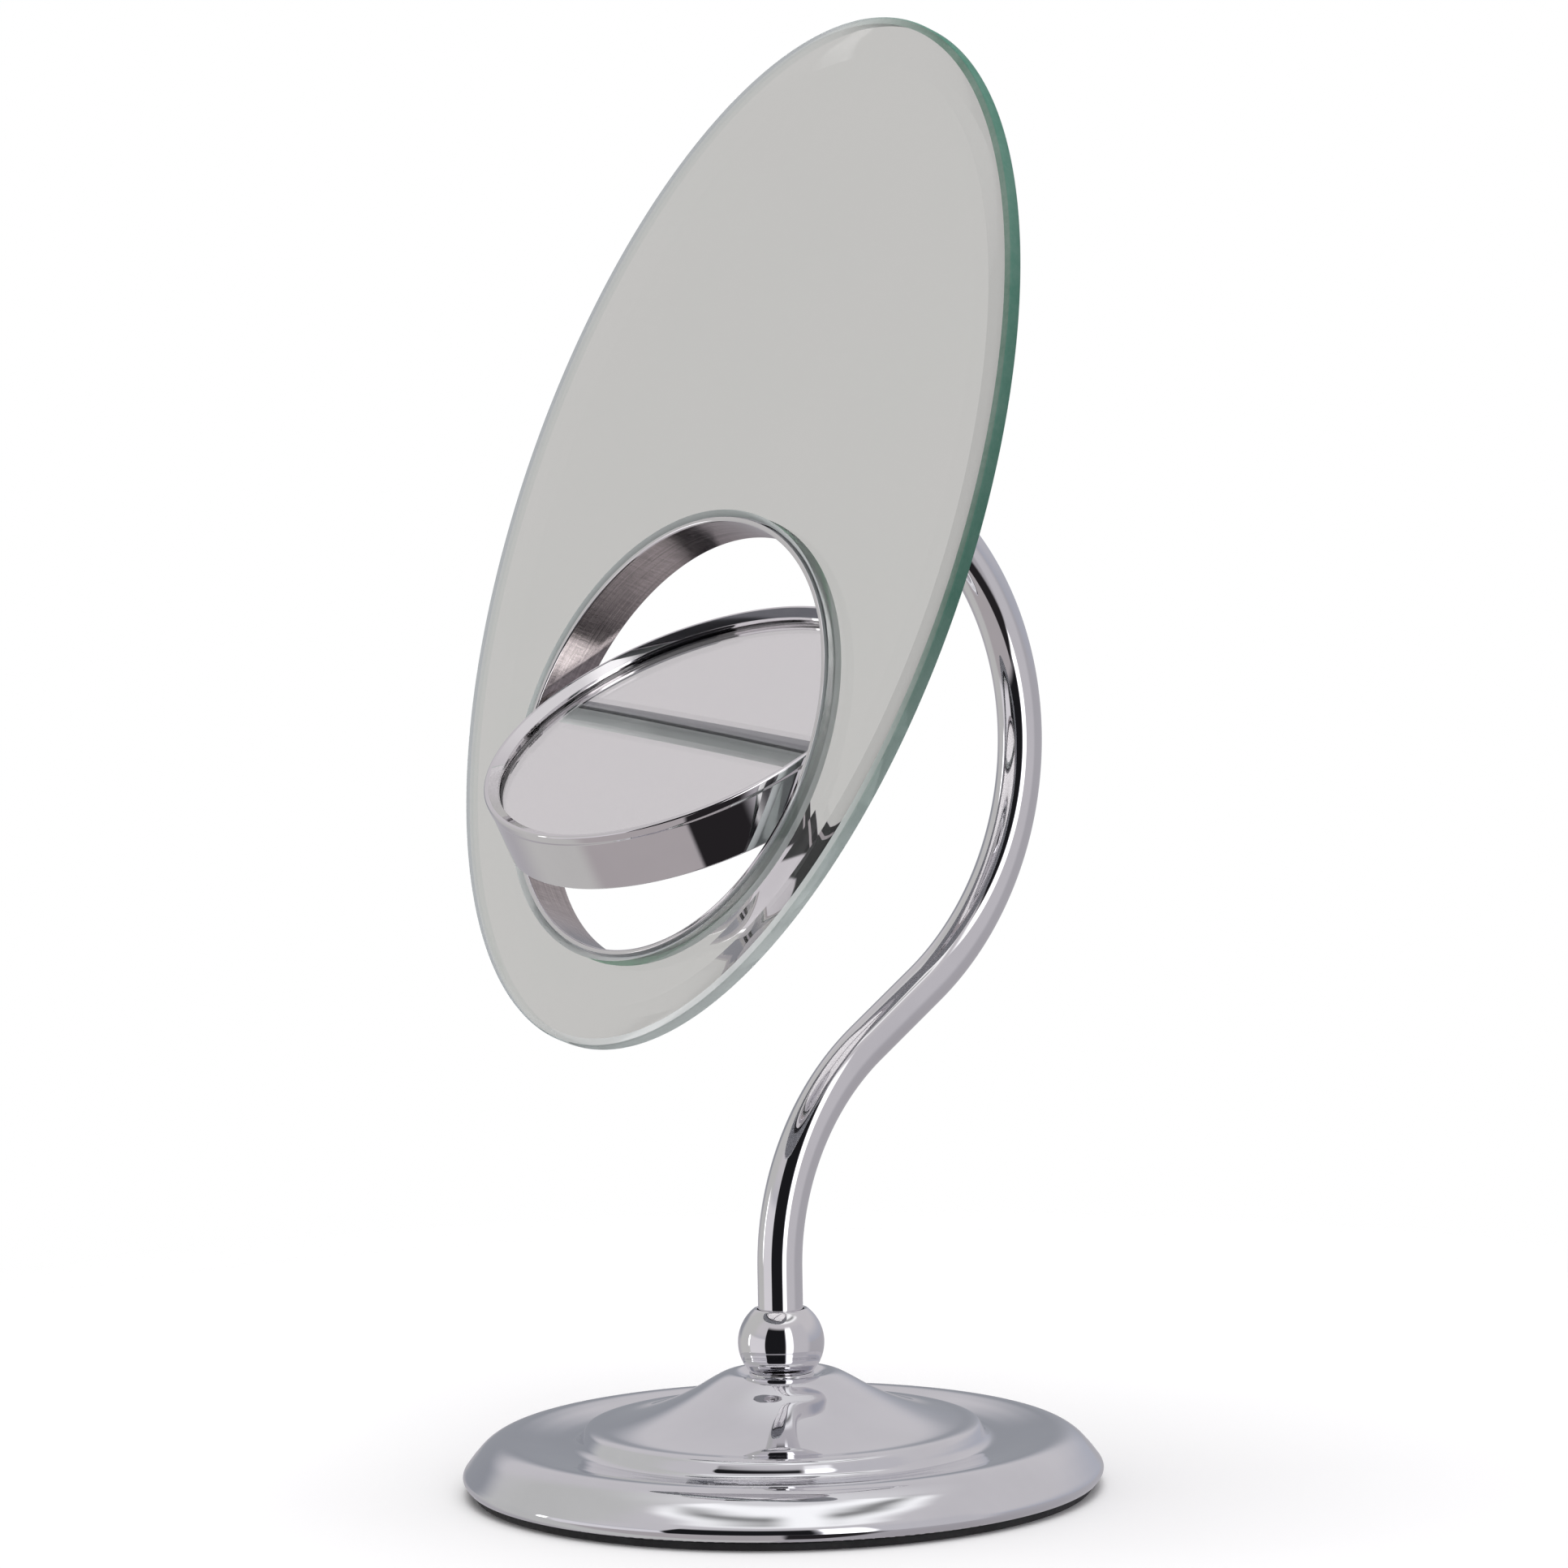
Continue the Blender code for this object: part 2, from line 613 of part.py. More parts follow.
def make_band():
    """The rolled band round the insert, with a bead and a lip at both rims."""
    wall = BAND_RADIUS - BAND_WALL
    bead = 1.2 * MM
    outer = BAND_RADIUS - 0.3 * MM
    upper = [
        (wall, LIP_HEIGHT),
        (LIP_RADIUS, LIP_HEIGHT),
        (LIP_RADIUS, LIP_HEIGHT + 0.7 * MM),
        (LIP_RADIUS + 1.4 * MM, BAND_HALF_WIDTH - 0.6 * MM),
    ]
    centre = (BAND_RADIUS - bead, BAND_HALF_WIDTH - bead)
    upper += arc(centre, bead, math.radians(110.0), math.radians(-20.0), 4)
    upper.append((outer, BAND_HALF_WIDTH - 2.2 * bead))
    lower = [(r, -z) for r, z in reversed(upper)]
    band = turned("insert_band", upper + lower, WIDE_SIDES, CHROME, INSERT_AXIS, ORIGIN, TO_FRONT)
    combine(band, PIVOT_BORE, "DIFFERENCE")


def dish(level, steps):
    """Half of a shallow dish from its middle out to the edge of the glass."""
    points = []
    for i in range(steps + 1):
        out = i / steps
        points.append((INSERT_GLASS_RADIUS * out, level + CURVED_GLASS_SAG * (1.0 - out * out)))
    return points


def make_insert_glasses():
    """A plain mirror in one face, a magnifying one in the other and the core between them."""
    front = LIP_HEIGHT - GAP
    core_top = front - PLAIN_GLASS - GAP
    plain = rod(INSERT_GLASS_RADIUS, core_top + GAP, front)
    turned("insert_glass_plain", plain, WIDE_SIDES, MIRROR, INSERT_AXIS, ORIGIN, TO_FRONT)
    steps = 3
    curved = dish(-front + CURVED_GLASS, steps) + list(reversed(dish(-front, steps)))
    name = "insert_glass_magnifying"
    turned(name, curved, WIDE_SIDES, MIRROR, INSERT_AXIS, ORIGIN, TO_FRONT)
    web = -2.0 * MM
    rim = -3.2 * MM
    outline = [
        (0.0, core_top),
        (INSERT_GLASS_RADIUS, core_top),
        (INSERT_GLASS_RADIUS, rim),
        (CORE_RIM, rim),
        (CORE_RIM - 2.0 * MM, web),
        (0.0, web),
    ]
    core = turned("insert_core", outline, WIDE_SIDES, PLASTIC, INSERT_AXIS, ORIGIN, TO_FRONT)
    for side in (-1.0, 1.0):
        ends = sorted((side * (PIN_END - MM), side * 2.0 * PIN_END))
        bore = rod(PIN_RADIUS + GAP, ends[0], ends[1])
        cutter = turned("core_bore", bore, SMALL_SIDES, None, INSERT_AXIS, ORIGIN, TO_RIGHT)
        combine(core, cutter, "DIFFERENCE")


def make_pivots():
    """The two pins that the insert turns on, and the bushes that centre it in the ring."""
    head_near = RING_OUTER + GAP
    bush_ends = (BAND_RADIUS + GAP, RING_INNER - 1.4 * GAP)
    bush = sleeve(PIN_RADIUS + GAP, 3.4 * MM, bush_ends[0], bush_ends[1])
    pin = [
        (0.0, head_near + PIN_HEAD),
        (PIN_HEAD_RADIUS - 0.4 * MM, head_near + PIN_HEAD),
        (PIN_HEAD_RADIUS, head_near),
        (PIN_RADIUS, head_near),
        (PIN_RADIUS, PIN_END),
        (0.0, PIN_END),
    ]
    for tag, side in (("left", -1.0), ("right", 1.0)):
        outwards = (0.0, side * math.pi / 2.0, 0.0)
        turned("pivot_pin_" + tag, pin, SMALL_SIDES, STEEL, INSERT_AXIS, ORIGIN, outwards)
        turned("pivot_bush_" + tag, bush, SMALL_SIDES, NYLON, INSERT_AXIS, ORIGIN, outwards)


HINGE_POINT = FACE_FRAME @ Vector((0.0, HINGE_DEPTH, HINGE_HEIGHT))
HINGE_AXIS = axis("tilt_axis", None, HINGE_POINT, (-TILT, 0.0, 0.0))
HOLE_PLACE = (0.0, -HINGE_DEPTH, -HINGE_HEIGHT - HOLE_DROP)
HOLE_AXIS = axis("hole_axis", HINGE_AXIS, HOLE_PLACE, (0.0, PIVOT_SLOPE, 0.0))
INSERT_AXIS = axis("insert_axis", HOLE_AXIS, (0.0, PIVOT_DEPTH, 0.0), (-INSERT_TURN, 0.0, 0.0))
THROUGH = rod(PIN_RADIUS + GAP, -FLANGE_OUTER, FLANGE_OUTER)
PIVOT_BORE = turned("pivot_bore", THROUGH, SMALL_SIDES, None, INSERT_AXIS, ORIGIN, TO_RIGHT)

make_base()
make_stud()
make_stem(TUBE_END)
make_stem_head()
make_bracket()
make_hinge_bolt()
make_mirror()
make_hole_ring()
make_band()
make_insert_glasses()
make_pivots()
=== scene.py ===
"""Looks for the countertop mirror: finer chrome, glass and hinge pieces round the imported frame.

Metres, +Z up. The oval mirror faces -Y, and depths behind its face run along the face frame's +Y.
"""

import json
import math

import bmesh
import bpy
from mathutils import Matrix, Vector


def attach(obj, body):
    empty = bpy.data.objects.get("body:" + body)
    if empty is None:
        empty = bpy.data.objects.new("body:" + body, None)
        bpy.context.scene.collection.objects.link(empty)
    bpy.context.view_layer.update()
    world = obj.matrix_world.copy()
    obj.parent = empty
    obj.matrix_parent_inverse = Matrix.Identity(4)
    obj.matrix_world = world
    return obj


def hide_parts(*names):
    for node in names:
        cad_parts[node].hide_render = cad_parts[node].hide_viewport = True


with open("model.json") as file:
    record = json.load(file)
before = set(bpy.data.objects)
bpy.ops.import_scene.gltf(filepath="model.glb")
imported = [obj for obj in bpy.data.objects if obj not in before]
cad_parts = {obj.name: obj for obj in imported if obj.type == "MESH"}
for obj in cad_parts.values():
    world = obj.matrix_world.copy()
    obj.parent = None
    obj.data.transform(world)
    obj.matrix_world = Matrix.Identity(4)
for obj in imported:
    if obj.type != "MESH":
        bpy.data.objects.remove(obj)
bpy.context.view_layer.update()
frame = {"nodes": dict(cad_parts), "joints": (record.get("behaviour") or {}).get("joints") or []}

MM = 0.001
GAP = 0.3 * MM  # between pieces that touch on the real object

# ---------------------------------------------------------------- places, from the frame

JOINTS = {joint["name"]: joint for joint in frame["joints"]}
HINGE_POINT = Vector(JOINTS["mirror_tilt"]["pos_m"])
INSERT_POINT = Vector(JOINTS["insert_turn"]["pos_m"])

TILT = math.radians(22.0)
HINGE_DEPTH = 21.0 * MM
PIVOT_DEPTH = 10.4 * MM
PIVOT_SLOPE = math.radians(5.0)
INSERT_TURN = math.radians(40.0)
HOLE_DROP = 61.3 * MM

LEAN = Matrix.Rotation(-TILT, 4, "X")
FORWARD = Matrix.Rotation(math.pi / 2.0, 4, "X")  # a turned piece's +Z then points out of the face
SIDEWAYS = Matrix.Rotation(math.pi / 2.0, 4, "Y")
SLOPE = Matrix.Rotation(PIVOT_SLOPE, 4, "Y")

HINGE = Matrix.Translation(HINGE_POINT) @ LEAN
PIVOT = Matrix.Translation(INSERT_POINT) @ LEAN @ SLOPE
HOLE = PIVOT @ Matrix.Translation((0.0, -PIVOT_DEPTH, 0.0))
INSERT = PIVOT @ Matrix.Rotation(-INSERT_TURN, 4, "X")
FACE = Matrix.Translation(HOLE.translation + LEAN @ Vector((0.0, 0.0, HOLE_DROP))) @ LEAN
HINGE_HEIGHT = (FACE.inverted() @ HINGE_POINT).z

# ---------------------------------------------------------------- node helpers


class Tree:
    """A material's or world's nodes, made one line at a time."""

    def __init__(self, owner):
        owner.use_nodes = True
        self.nt = owner.node_tree
        self.nt.nodes.clear()

    def set(self, socket, value):
        if isinstance(value, bpy.types.NodeSocket):
            self.nt.links.new(value, socket)
        elif value is not None:
            socket.default_value = value

    def node(self, kind, inputs=None, **settings):
        made = self.nt.nodes.new(kind)
        for key, value in settings.items():
            setattr(made, key, value)
        for key, value in (inputs or {}).items():
            self.set(made.inputs[key], value)
        return made

    def math(self, operation, a, b=None, c=None, clamp=False):
        made = self.nt.nodes.new("ShaderNodeMath")
        made.operation = operation
        made.use_clamp = clamp
        for socket, value in zip(made.inputs, (a, b, c)):
            self.set(socket, value)
        return made.outputs[0]

    def dot(self, a, b):
        made = self.nt.nodes.new("ShaderNodeVectorMath")
        made.operation = "DOT_PRODUCT"
        self.set(made.inputs[0], a)
        self.set(made.inputs[1], b)
        return made.outputs["Value"]

    def remap(self, value, low, high, to_low, to_high, smooth=False):
        kind = "SMOOTHSTEP" if smooth else "LINEAR"
        made = self.node("ShaderNodeMapRange", interpolation_type=kind)
        for socket, number in zip(made.inputs, (value, low, high, to_low, to_high)):
            self.set(socket, number)
        return made.outputs[0]

    def mix(self, share, a, b):
        made = self.node("ShaderNodeMix", data_type="RGBA")
        for socket, value in ((0, share), (6, a), (7, b)):
            if isinstance(value, tuple) and len(value) == 3:
                value = (*value, 1.0)
            self.set(made.inputs[socket], value)
        return made.outputs[2]

    def noise(self, vector, scale, detail=3.0, rough=0.5):
        inputs = {"Vector": vector, "Scale": scale, "Detail": detail, "Roughness": rough}
        return self.node("ShaderNodeTexNoise", inputs).outputs[0]

    def object_space(self, stretch=(1.0, 1.0, 1.0)):
        place = self.node("ShaderNodeTexCoord").outputs["Object"]
        return self.node("ShaderNodeMapping", {"Vector": place, "Scale": stretch}).outputs[0]

    def uv_space(self, stretch=(1.0, 1.0, 1.0)):
        place = self.node("ShaderNodeTexCoord").outputs["UV"]
        return self.node("ShaderNodeMapping", {"Vector": place, "Scale": stretch}).outputs[0]

    def bump(self, height, strength, distance):
        inputs = {"Height": height, "Strength": strength, "Distance": distance}
        return self.node("ShaderNodeBump", inputs).outputs[0]

    def surface(self, **inputs):
        named = {key.replace("_", " "): value for key, value in inputs.items()}
        for key, value in named.items():
            if isinstance(value, tuple) and len(value) == 3:
                named[key] = (*value, 1.0)
        shader = self.node("ShaderNodeBsdfPrincipled", named)
        out = self.node("ShaderNodeOutputMaterial")
        self.nt.links.new(shader.outputs[0], out.inputs["Surface"])
        return out


def new_material(name):
    mat = bpy.data.materials.new(name)
    return mat, Tree(mat)


# ---------------------------------------------------------------- materials


def chrome_look(name, tone=(0.80, 0.79, 0.81), polish=0.014):
    """Polished chrome plate with a faint haze and wiping marks."""
    mat, t = new_material(name)
    cloud = t.noise(t.object_space(), 38.0, 4.0, 0.6)
    wipe = t.noise(t.object_space((55.0, 55.0, 620.0)), 1.0, 2.0)
    dull = tuple(c * 0.95 for c in tone)
    colour = t.mix(t.remap(cloud, 0.35, 0.75, 0.0, 1.0), tone, dull)
    haze = t.remap(cloud, 0.3, 0.8, polish * 0.6, polish * 1.8)
    marks = t.remap(wipe, 0.55, 0.8, 0.0, 0.02)
    t.surface(Base_Color=colour, Metallic=1.0, Roughness=t.math("ADD", haze, marks))
    return mat


def brushed_look(name, tone, low, high):
    """Metal with fine lines round it. UV runs round the piece in x and along its section in y."""
    mat, t = new_material(name)
    lines = t.noise(t.uv_space((30.0, 1500.0, 1.0)), 1.0, 3.0, 0.7)
    nicks = t.noise(t.uv_space((1500.0, 160.0, 1.0)), 1.0, 2.0, 0.6)
    patch = t.noise(t.object_space(), 45.0, 3.0)
    shade = t.math("ADD", t.math("MULTIPLY", lines, 0.6), t.math("MULTIPLY", nicks, 0.4))
    dull = tuple(c * 0.55 for c in tone)
    colour = t.mix(t.remap(shade, 0.35, 0.65, 0.0, 1.0), dull, tone)
    rough = t.remap(t.math("ADD", shade, patch), 0.6, 1.4, low, high)
    t.surface(
        Base_Color=colour,
        Metallic=1.0,
        Roughness=rough,
        Anisotropic=0.6,
        Normal=t.bump(shade, 0.25, 0.00006),
    )
    return mat


def steel_look(name):
    """Zinc-plated steel with a soft mottle."""
    mat, t = new_material(name)
    place = t.object_space()
    mottle = t.noise(place, 420.0, 5.0, 0.65)
    fine = t.noise(place, 3800.0, 2.0)
    tone = (0.56, 0.56, 0.57)
    warm = (tone[0] * 1.06, tone[1] * 1.02, tone[2] * 0.93)
    colour = t.mix(mottle, tone, warm)
    rough = t.remap(mottle, 0.3, 0.7, 0.22, 0.4)
    t.surface(
        Base_Color=colour, Metallic=1.0, Roughness=rough, Normal=t.bump(fine, 0.08, 0.00005)
    )
    return mat


GRAIN_DEPTH = 0.0001


def plain_look(name, tone, spots, low, high, size=900.0, strength=0.2):
    """Paint, rubber, plastic or cast iron: two near tones, uneven gloss and a fine bump."""
    mat, t = new_material(name)
    place = t.object_space()
    broad = t.noise(place, size / 12.0, 4.0, 0.55)
    fine = t.noise(place, size, 4.0, 0.6)
    share = t.remap(t.math("ADD", broad, t.math("MULTIPLY", fine, 0.5)), 0.5, 1.0, 0.0, 1.0)
    t.surface(
        Base_Color=t.mix(share, tone, spots),
        Roughness=t.remap(fine, 0.3, 0.7, low, high),
        Normal=t.bump(fine, strength, GRAIN_DEPTH),
    )
    return mat


GLASS_TINT = (0.42, 0.86, 0.66, 1.0)
GLASS_DENSITY = 3.0
GLASS_INDEX = 1.52
EDGE_INDEX = 1.02  # near 1, so that the rim lets light out instead of trapping it


def glass_look(name, tone, low, high):
    """Clear glass. The faint unevenness is left by the polishing wheels."""
    mat, t = new_material(name)
    polish = t.noise(t.object_space(), 30.0, 3.0, 0.6)
    pale = tuple(min(1.0, c * 1.06) for c in tone)
    out = t.surface(
        Base_Color=t.mix(t.remap(polish, 0.3, 0.7, 0.0, 1.0), tone, pale),
        Roughness=t.remap(polish, 0.3, 0.7, low, high),
        IOR=GLASS_INDEX,
        Transmission_Weight=1.0,
    )
    inside = t.node("ShaderNodeVolumeAbsorption", {"Color": GLASS_TINT, "Density": GLASS_DENSITY})
    t.nt.links.new(inside.outputs[0], out.inputs["Volume"])
    return mat


def edge_glass_with_painted_light(name, tone, pale, low, high, clear, index):
    """The green a sheet of glass shows at its edge, milky where the wheels left it rough.

    The green is deepest on the right above the middle, which is painted shade, and pale to the
    left and at the bottom, which is a painted highlight.
    clear is the share of light let through on the right, then on the left.
    """
    mat, t = new_material(name)
    place = t.node("ShaderNodeTexCoord").outputs["Object"]
    split = t.node("ShaderNodeSeparateXYZ", {"Vector": place})
    # Painted light by place: deep green, painted shade, on the right above the middle; pale, a
    # painted highlight, elsewhere.
    right = t.remap(split.outputs["X"], -0.035, 0.03, 0.0, 1.0, True)
    upper = t.remap(split.outputs["Z"], 0.15, 0.27, 0.15, 1.0, True)
    away = t.math("SUBTRACT", 1.0, t.math("MULTIPLY", right, upper))
    broad = t.noise(t.object_space(), 60.0, 3.0, 0.6)
    bubbles = t.noise(t.object_space(), 700.0, 3.0, 0.6)
    milk = t.math("MULTIPLY", t.math("ADD", broad, t.math("MULTIPLY", bubbles, 0.4)), 0.2)
    t.surface(
        Base_Color=t.mix(t.math("ADD", away, milk, clamp=True), tone, pale),
        Roughness=t.remap(bubbles, 0.3, 0.7, low, high),
        IOR=index,
        Transmission_Weight=t.remap(right, 0.0, 1.0, clear[1], clear[0]),
    )
    return mat


def silver_look(name, tone):
    """The silvering on the back of the glass, with the faintest unevenness."""
    mat, t = new_material(name)
    cloud = t.noise(t.object_space(), 22.0, 3.0)
    edge = tuple(c * 0.985 for c in tone)
    t.surface(
        Base_Color=t.mix(cloud, tone, edge),
        Metallic=1.0,
        Roughness=t.remap(cloud, 0.2, 0.8, 0.0, 0.012),
    )
    return mat


CHROME = chrome_look("chrome")
CHROME_BASE = chrome_look("chrome_base", (0.79, 0.79, 0.82), 0.025)
CHROME_BAND = chrome_look("chrome_band", (0.80, 0.78, 0.80), 0.02)
# The bore's dark brownish tone is painted shade; its fine lines are the real brushing.
BRUSHED_PAINTED_SHADE = brushed_look("brushed_ring_painted_shade", (0.50, 0.45, 0.45), 0.10, 0.24)
STEEL = steel_look("zinc_steel")
IRON = plain_look("cast_iron", (0.045, 0.045, 0.05), (0.09, 0.085, 0.085), 0.5, 0.8)
RUBBER = plain_look("black_rubber", (0.012, 0.012, 0.013), (0.03, 0.03, 0.032), 0.6, 0.85)
TAPE = plain_look("foam_tape", (0.05, 0.05, 0.05), (0.09, 0.09, 0.09), 0.8, 0.95)
NYLON = plain_look("nylon", (0.78, 0.77, 0.72), (0.70, 0.69, 0.64), 0.35, 0.5)
PLASTIC = plain_look("black_plastic", (0.02, 0.02, 0.022), (0.04, 0.04, 0.042), 0.35, 0.55)
PAINT = plain_look(
    "backing_paint", (0.27, 0.28, 0.30), (0.32, 0.33, 0.345), 0.42, 0.6, 420.0, 0.04
)
CLEAR = glass_look("clear_glass", (0.99, 1.0, 0.995), 0.0, 0.006)
# These glass rims get their painted shade and painted highlight by place from the function above.
EDGE = edge_glass_with_painted_light(
    "edge_glass", (0.045, 0.24, 0.16), (0.88, 0.96, 0.94), 0.02, 0.07, (0.4, 0.9), EDGE_INDEX
)
# The dark green band on the bevel's outer edge is a painted reflection of the green edge inside
# the glass.
RIM_PAINTED_REFLECTION = edge_glass_with_painted_light(
    "bevel_rim_painted_reflection",
    (0.015, 0.11, 0.06), (0.94, 0.98, 0.97), 0.0, 0.01, (0.18, 0.96), GLASS_INDEX,
)
GROUND = edge_glass_with_painted_light(
    "hole_edge_glass",
    (0.80, 0.91, 0.88), (0.88, 0.95, 0.93), 0.1, 0.25, (0.3, 0.3), GLASS_INDEX,
)
SILVER = silver_look("silvering", (0.95, 0.925, 0.93))

# ---------------------------------------------------------------- mesh helpers

# How many sides the turned pieces have.
RING_SIDES = 240
WIDE_SIDES = 192
PAD_SIDES = 160
MIDDLE_SIDES = 128
COLLAR_SIDES = 96
TUBE_SIDES = 72
BOLT_SIDES = 64
PIN_SIDES = 48

CAP_STEPS = 6  # steps round a right-angled corner
ON_AXIS = 1e-9


def finish_piece(name, mesh, mats, body, node):
    """Make the object, and let it ride its body in place of its CAD node."""
    obj = bpy.data.objects.new(name, mesh)
    bpy.context.scene.collection.objects.link(obj)
    for mat in mats:
        mesh.materials.append(mat)
    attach(obj, body)
    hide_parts(node)
    return obj


def rounded(corners, closed=True, steps=8):
    """An (r, z) outline whose corners, given as (r, z, fillet radius), are rounded."""
    points = []
    count = len(corners)
    for i, corner in enumerate(corners):
        r, z = corner[0], corner[1]
        radius = corner[2] if len(corner) > 2 else 0.0
        if radius <= 0.0 or (not closed and i in (0, count - 1)):
            points.append(Vector((r, z)))
            continue
        here = Vector((r, z))
        before = Vector(corners[i - 1][:2]) - here
        after = Vector(corners[(i + 1) % count][:2]) - here
        a, b = before.normalized(), after.normalized()
        half = math.acos(max(-1.0, min(1.0, a.dot(b)))) / 2.0
        reach = min(radius / math.tan(half), 0.49 * before.length, 0.49 * after.length)
        size = reach * math.tan(half)
        centre = here + (a + b).normalized() * (size / math.sin(half))
        start = (here + a * reach) - centre
        turn = math.pi - 2.0 * half
        if start.x * b.y - start.y * b.x < 0.0:
            turn = -turn
        pieces = max(2, round(steps * abs(turn) / (math.pi / 2.0)))
        for k in range(pieces + 1):
            w = turn * k / pieces
            c, s = math.cos(w), math.sin(w)
            points.append(centre + Vector((start.x * c - start.y * s, start.x * s + start.y * c)))
    return points


def spline(points, steps):
    """A smooth curve through (r, z) points: a centripetal Catmull-Rom spline."""
    vectors = [Vector(p) for p in points]
    ends = [vectors[0] * 2 - vectors[1], *vectors, vectors[-1] * 2 - vectors[-2]]
    out = []
    for p0, p1, p2, p3 in zip(ends, ends[1:], ends[2:], ends[3:]):
        t0 = 0.0
        t1 = t0 + (p1 - p0).length ** 0.5
        t2 = t1 + (p2 - p1).length ** 0.5
        t3 = t2 + (p3 - p2).length ** 0.5
        for k in range(steps):
            t = t1 + (t2 - t1) * k / steps
            a1 = p0 * ((t1 - t) / (t1 - t0)) + p1 * ((t - t0) / (t1 - t0))
            a2 = p1 * ((t2 - t) / (t2 - t1)) + p2 * ((t - t1) / (t2 - t1))
            a3 = p2 * ((t3 - t) / (t3 - t2)) + p3 * ((t - t2) / (t3 - t2))
            b1 = a1 * ((t2 - t) / (t2 - t0)) + a2 * ((t - t0) / (t2 - t0))
            b2 = a2 * ((t3 - t) / (t3 - t1)) + a3 * ((t - t1) / (t3 - t1))
            out.append(b1 * ((t2 - t) / (t2 - t1)) + b2 * ((t - t1) / (t2 - t1)))
    out.append(vectors[-1])
    return out


def outline_normals(points, closed):
    """The outward side of an outline that runs anticlockwise in (r, z)."""
    count = len(points)
    normals = []
    for i, here in enumerate(points):
        total = Vector((0.0, 0.0))
        if closed or i > 0:
            total += here - points[i - 1]
        if closed or i < count - 1:
            total += points[(i + 1) % count] - here
        total = total.normalized() if total.length > 0.0 else Vector((0.0, 1.0))
        normals.append(Vector((total.y, -total.x)))
    return normals


def smooth_mesh(name, verts, faces, coords, normals):
    """A smooth mesh with its UV map and its exact normals."""
    mesh = bpy.data.meshes.new(name)
    mesh.from_pydata([tuple(v) for v in verts], [], faces)
    mesh.polygons.foreach_set("use_smooth", [True] * len(faces))
    layer = mesh.uv_layers.new(name="UVMap")
    layer.data.foreach_set("uv", [c for corners in coords for uv in corners for c in uv])
    mesh.normals_split_custom_set_from_vertices([tuple(n) for n in normals])
    mesh.update()
    return mesh


def lathe(name, outline, sides, place, closed=True, inside=()):
    """A body turned about +Z from an anticlockwise outline, with exact normals and a UV map.

    Faces whose outline edge is in inside get material 1.
    """
    points = [Vector(p[:2]) for p in outline]
    count = len(points)
    normals = outline_normals(points, closed)
    verts, shades, rows = [], [], []
    turn_only = place.to_3x3()
    for p, n in zip(points, normals):
        if p.x < ON_AXIS:
            rows.append([len(verts)])
            verts.append(place @ Vector((0.0, 0.0, p.y)))
            shades.append(turn_only @ Vector((0.0, 0.0, math.copysign(1.0, n.y))))
            continue
        row = []
        for k in range(sides):
            a = 2.0 * math.pi * k / sides
            c, s = math.cos(a), math.sin(a)
            row.append(len(verts))
            verts.append(place @ Vector((p.x * c, p.x * s, p.y)))
            shades.append((turn_only @ Vector((n.x * c, n.x * s, n.y))).normalized())
        rows.append(row)
    faces, slots, coords = [], [], []
    run = 0.0
    for i in range(count if closed else count - 1):
        j = (i + 1) % count
        length = (points[j] - points[i]).length
        low, high = rows[i], rows[j]
        if len(low) == 1 and len(high) == 1:
            continue
        radius = max(points[i].x, points[j].x)
        for k in range(sides):
            m = (k + 1) % sides
            u0 = 2.0 * math.pi * radius * k / sides
            u1 = 2.0 * math.pi * radius * (k + 1) / sides
            if len(low) == 1:
                faces.append((low[0], high[m], high[k]))
                coords.append(((u0, run), (u1, run + length), (u0, run + length)))
            elif len(high) == 1:
                faces.append((low[k], low[m], high[0]))
                coords.append(((u0, run), (u1, run), (u0, run + length)))
            else:
                faces.append((low[k], low[m], high[m], high[k]))
                coords.append(((u0, run), (u1, run), (u1, run + length), (u0, run + length)))
            slots.append(1 if i in inside else 0)
        run += length
    mesh = smooth_mesh(name, verts, faces, coords, shades)
    mesh.polygons.foreach_set("material_index", slots)
    return mesh


def turned_ring(name, outline, sides, place, mats, body, node, inside=()):
    """A turned piece that is open in the middle."""
    mesh = lathe(name, outline, sides, place, True, inside)
    return finish_piece(name, mesh, mats, body, node)


def turned_solid(name, corners, sides, place, mats, body, node):
    """A turned piece that closes on its axis at both ends."""
    mesh = lathe(name, rounded(corners, False, CAP_STEPS), sides, place, False)
    finish_piece(name, mesh, mats, body, node)


# ---------------------------------------------------------------- base

STILL = Matrix.Identity(4)
STUD_HOLE = 3.4 * MM
SHEET = 1.0 * MM
PAD_RADIUS = 87.4 * MM
PAD = 2.2 * MM
SEAT_RADIUS = 9.2 * MM
SEAT_LOW, SEAT_HIGH = 31.9 * MM, 33.3 * MM


def base_shell():
    """The pressed shell as one smooth skin: cup, bell, step, flange and rolled rim."""
    knots = [  # (radius, height) in millimetres, from the stud's hole out to the rim's foot
        (3.4, 31.6),
        (7.0, 31.6),
        (9.8, 31.65),
        (11.2, 32.3),
        (12.6, 33.1),
        (14.4, 33.3),
        (16.6, 32.75),
        (20.0, 31.0),
        (25.0, 28.0),
        (31.0, 24.9),
        (37.5, 22.2),
        (44.0, 20.1),
        (50.0, 18.85),
        (54.0, 18.5),
        (55.6, 17.9),
        (56.7, 16.2),
        (57.6, 14.5),
        (59.2, 13.5),
        (63.0, 13.55),
        (68.0, 14.2),
        (73.0, 15.0),
        (77.6, 15.45),
        (81.2, 14.85),
        (84.4, 13.0),
        (87.2, 10.1),
        (89.1, 7.7),
        (90.2, 6.1),
        (90.5, 5.1),
        (90.2, 3.9),
        (89.2, 2.6),
    ]
    skin = spline([(r * MM, z * MM) for r, z in knots], 5)
    normals = outline_normals(skin[::-1], False)[::-1]
    inner = [p - n * SHEET for p, n in zip(skin, normals)]
    tip = skin[-1] - normals[-1] * SHEET * 0.5 + Vector((-0.15 * MM, -0.2 * MM))
    outline = [*skin[::-1], *inner, tip]
    turned_ring(
        "base_shell_pressed", outline, WIDE_SIDES, STILL, [CHROME_BASE], "stand",
        "base_shell",
    )


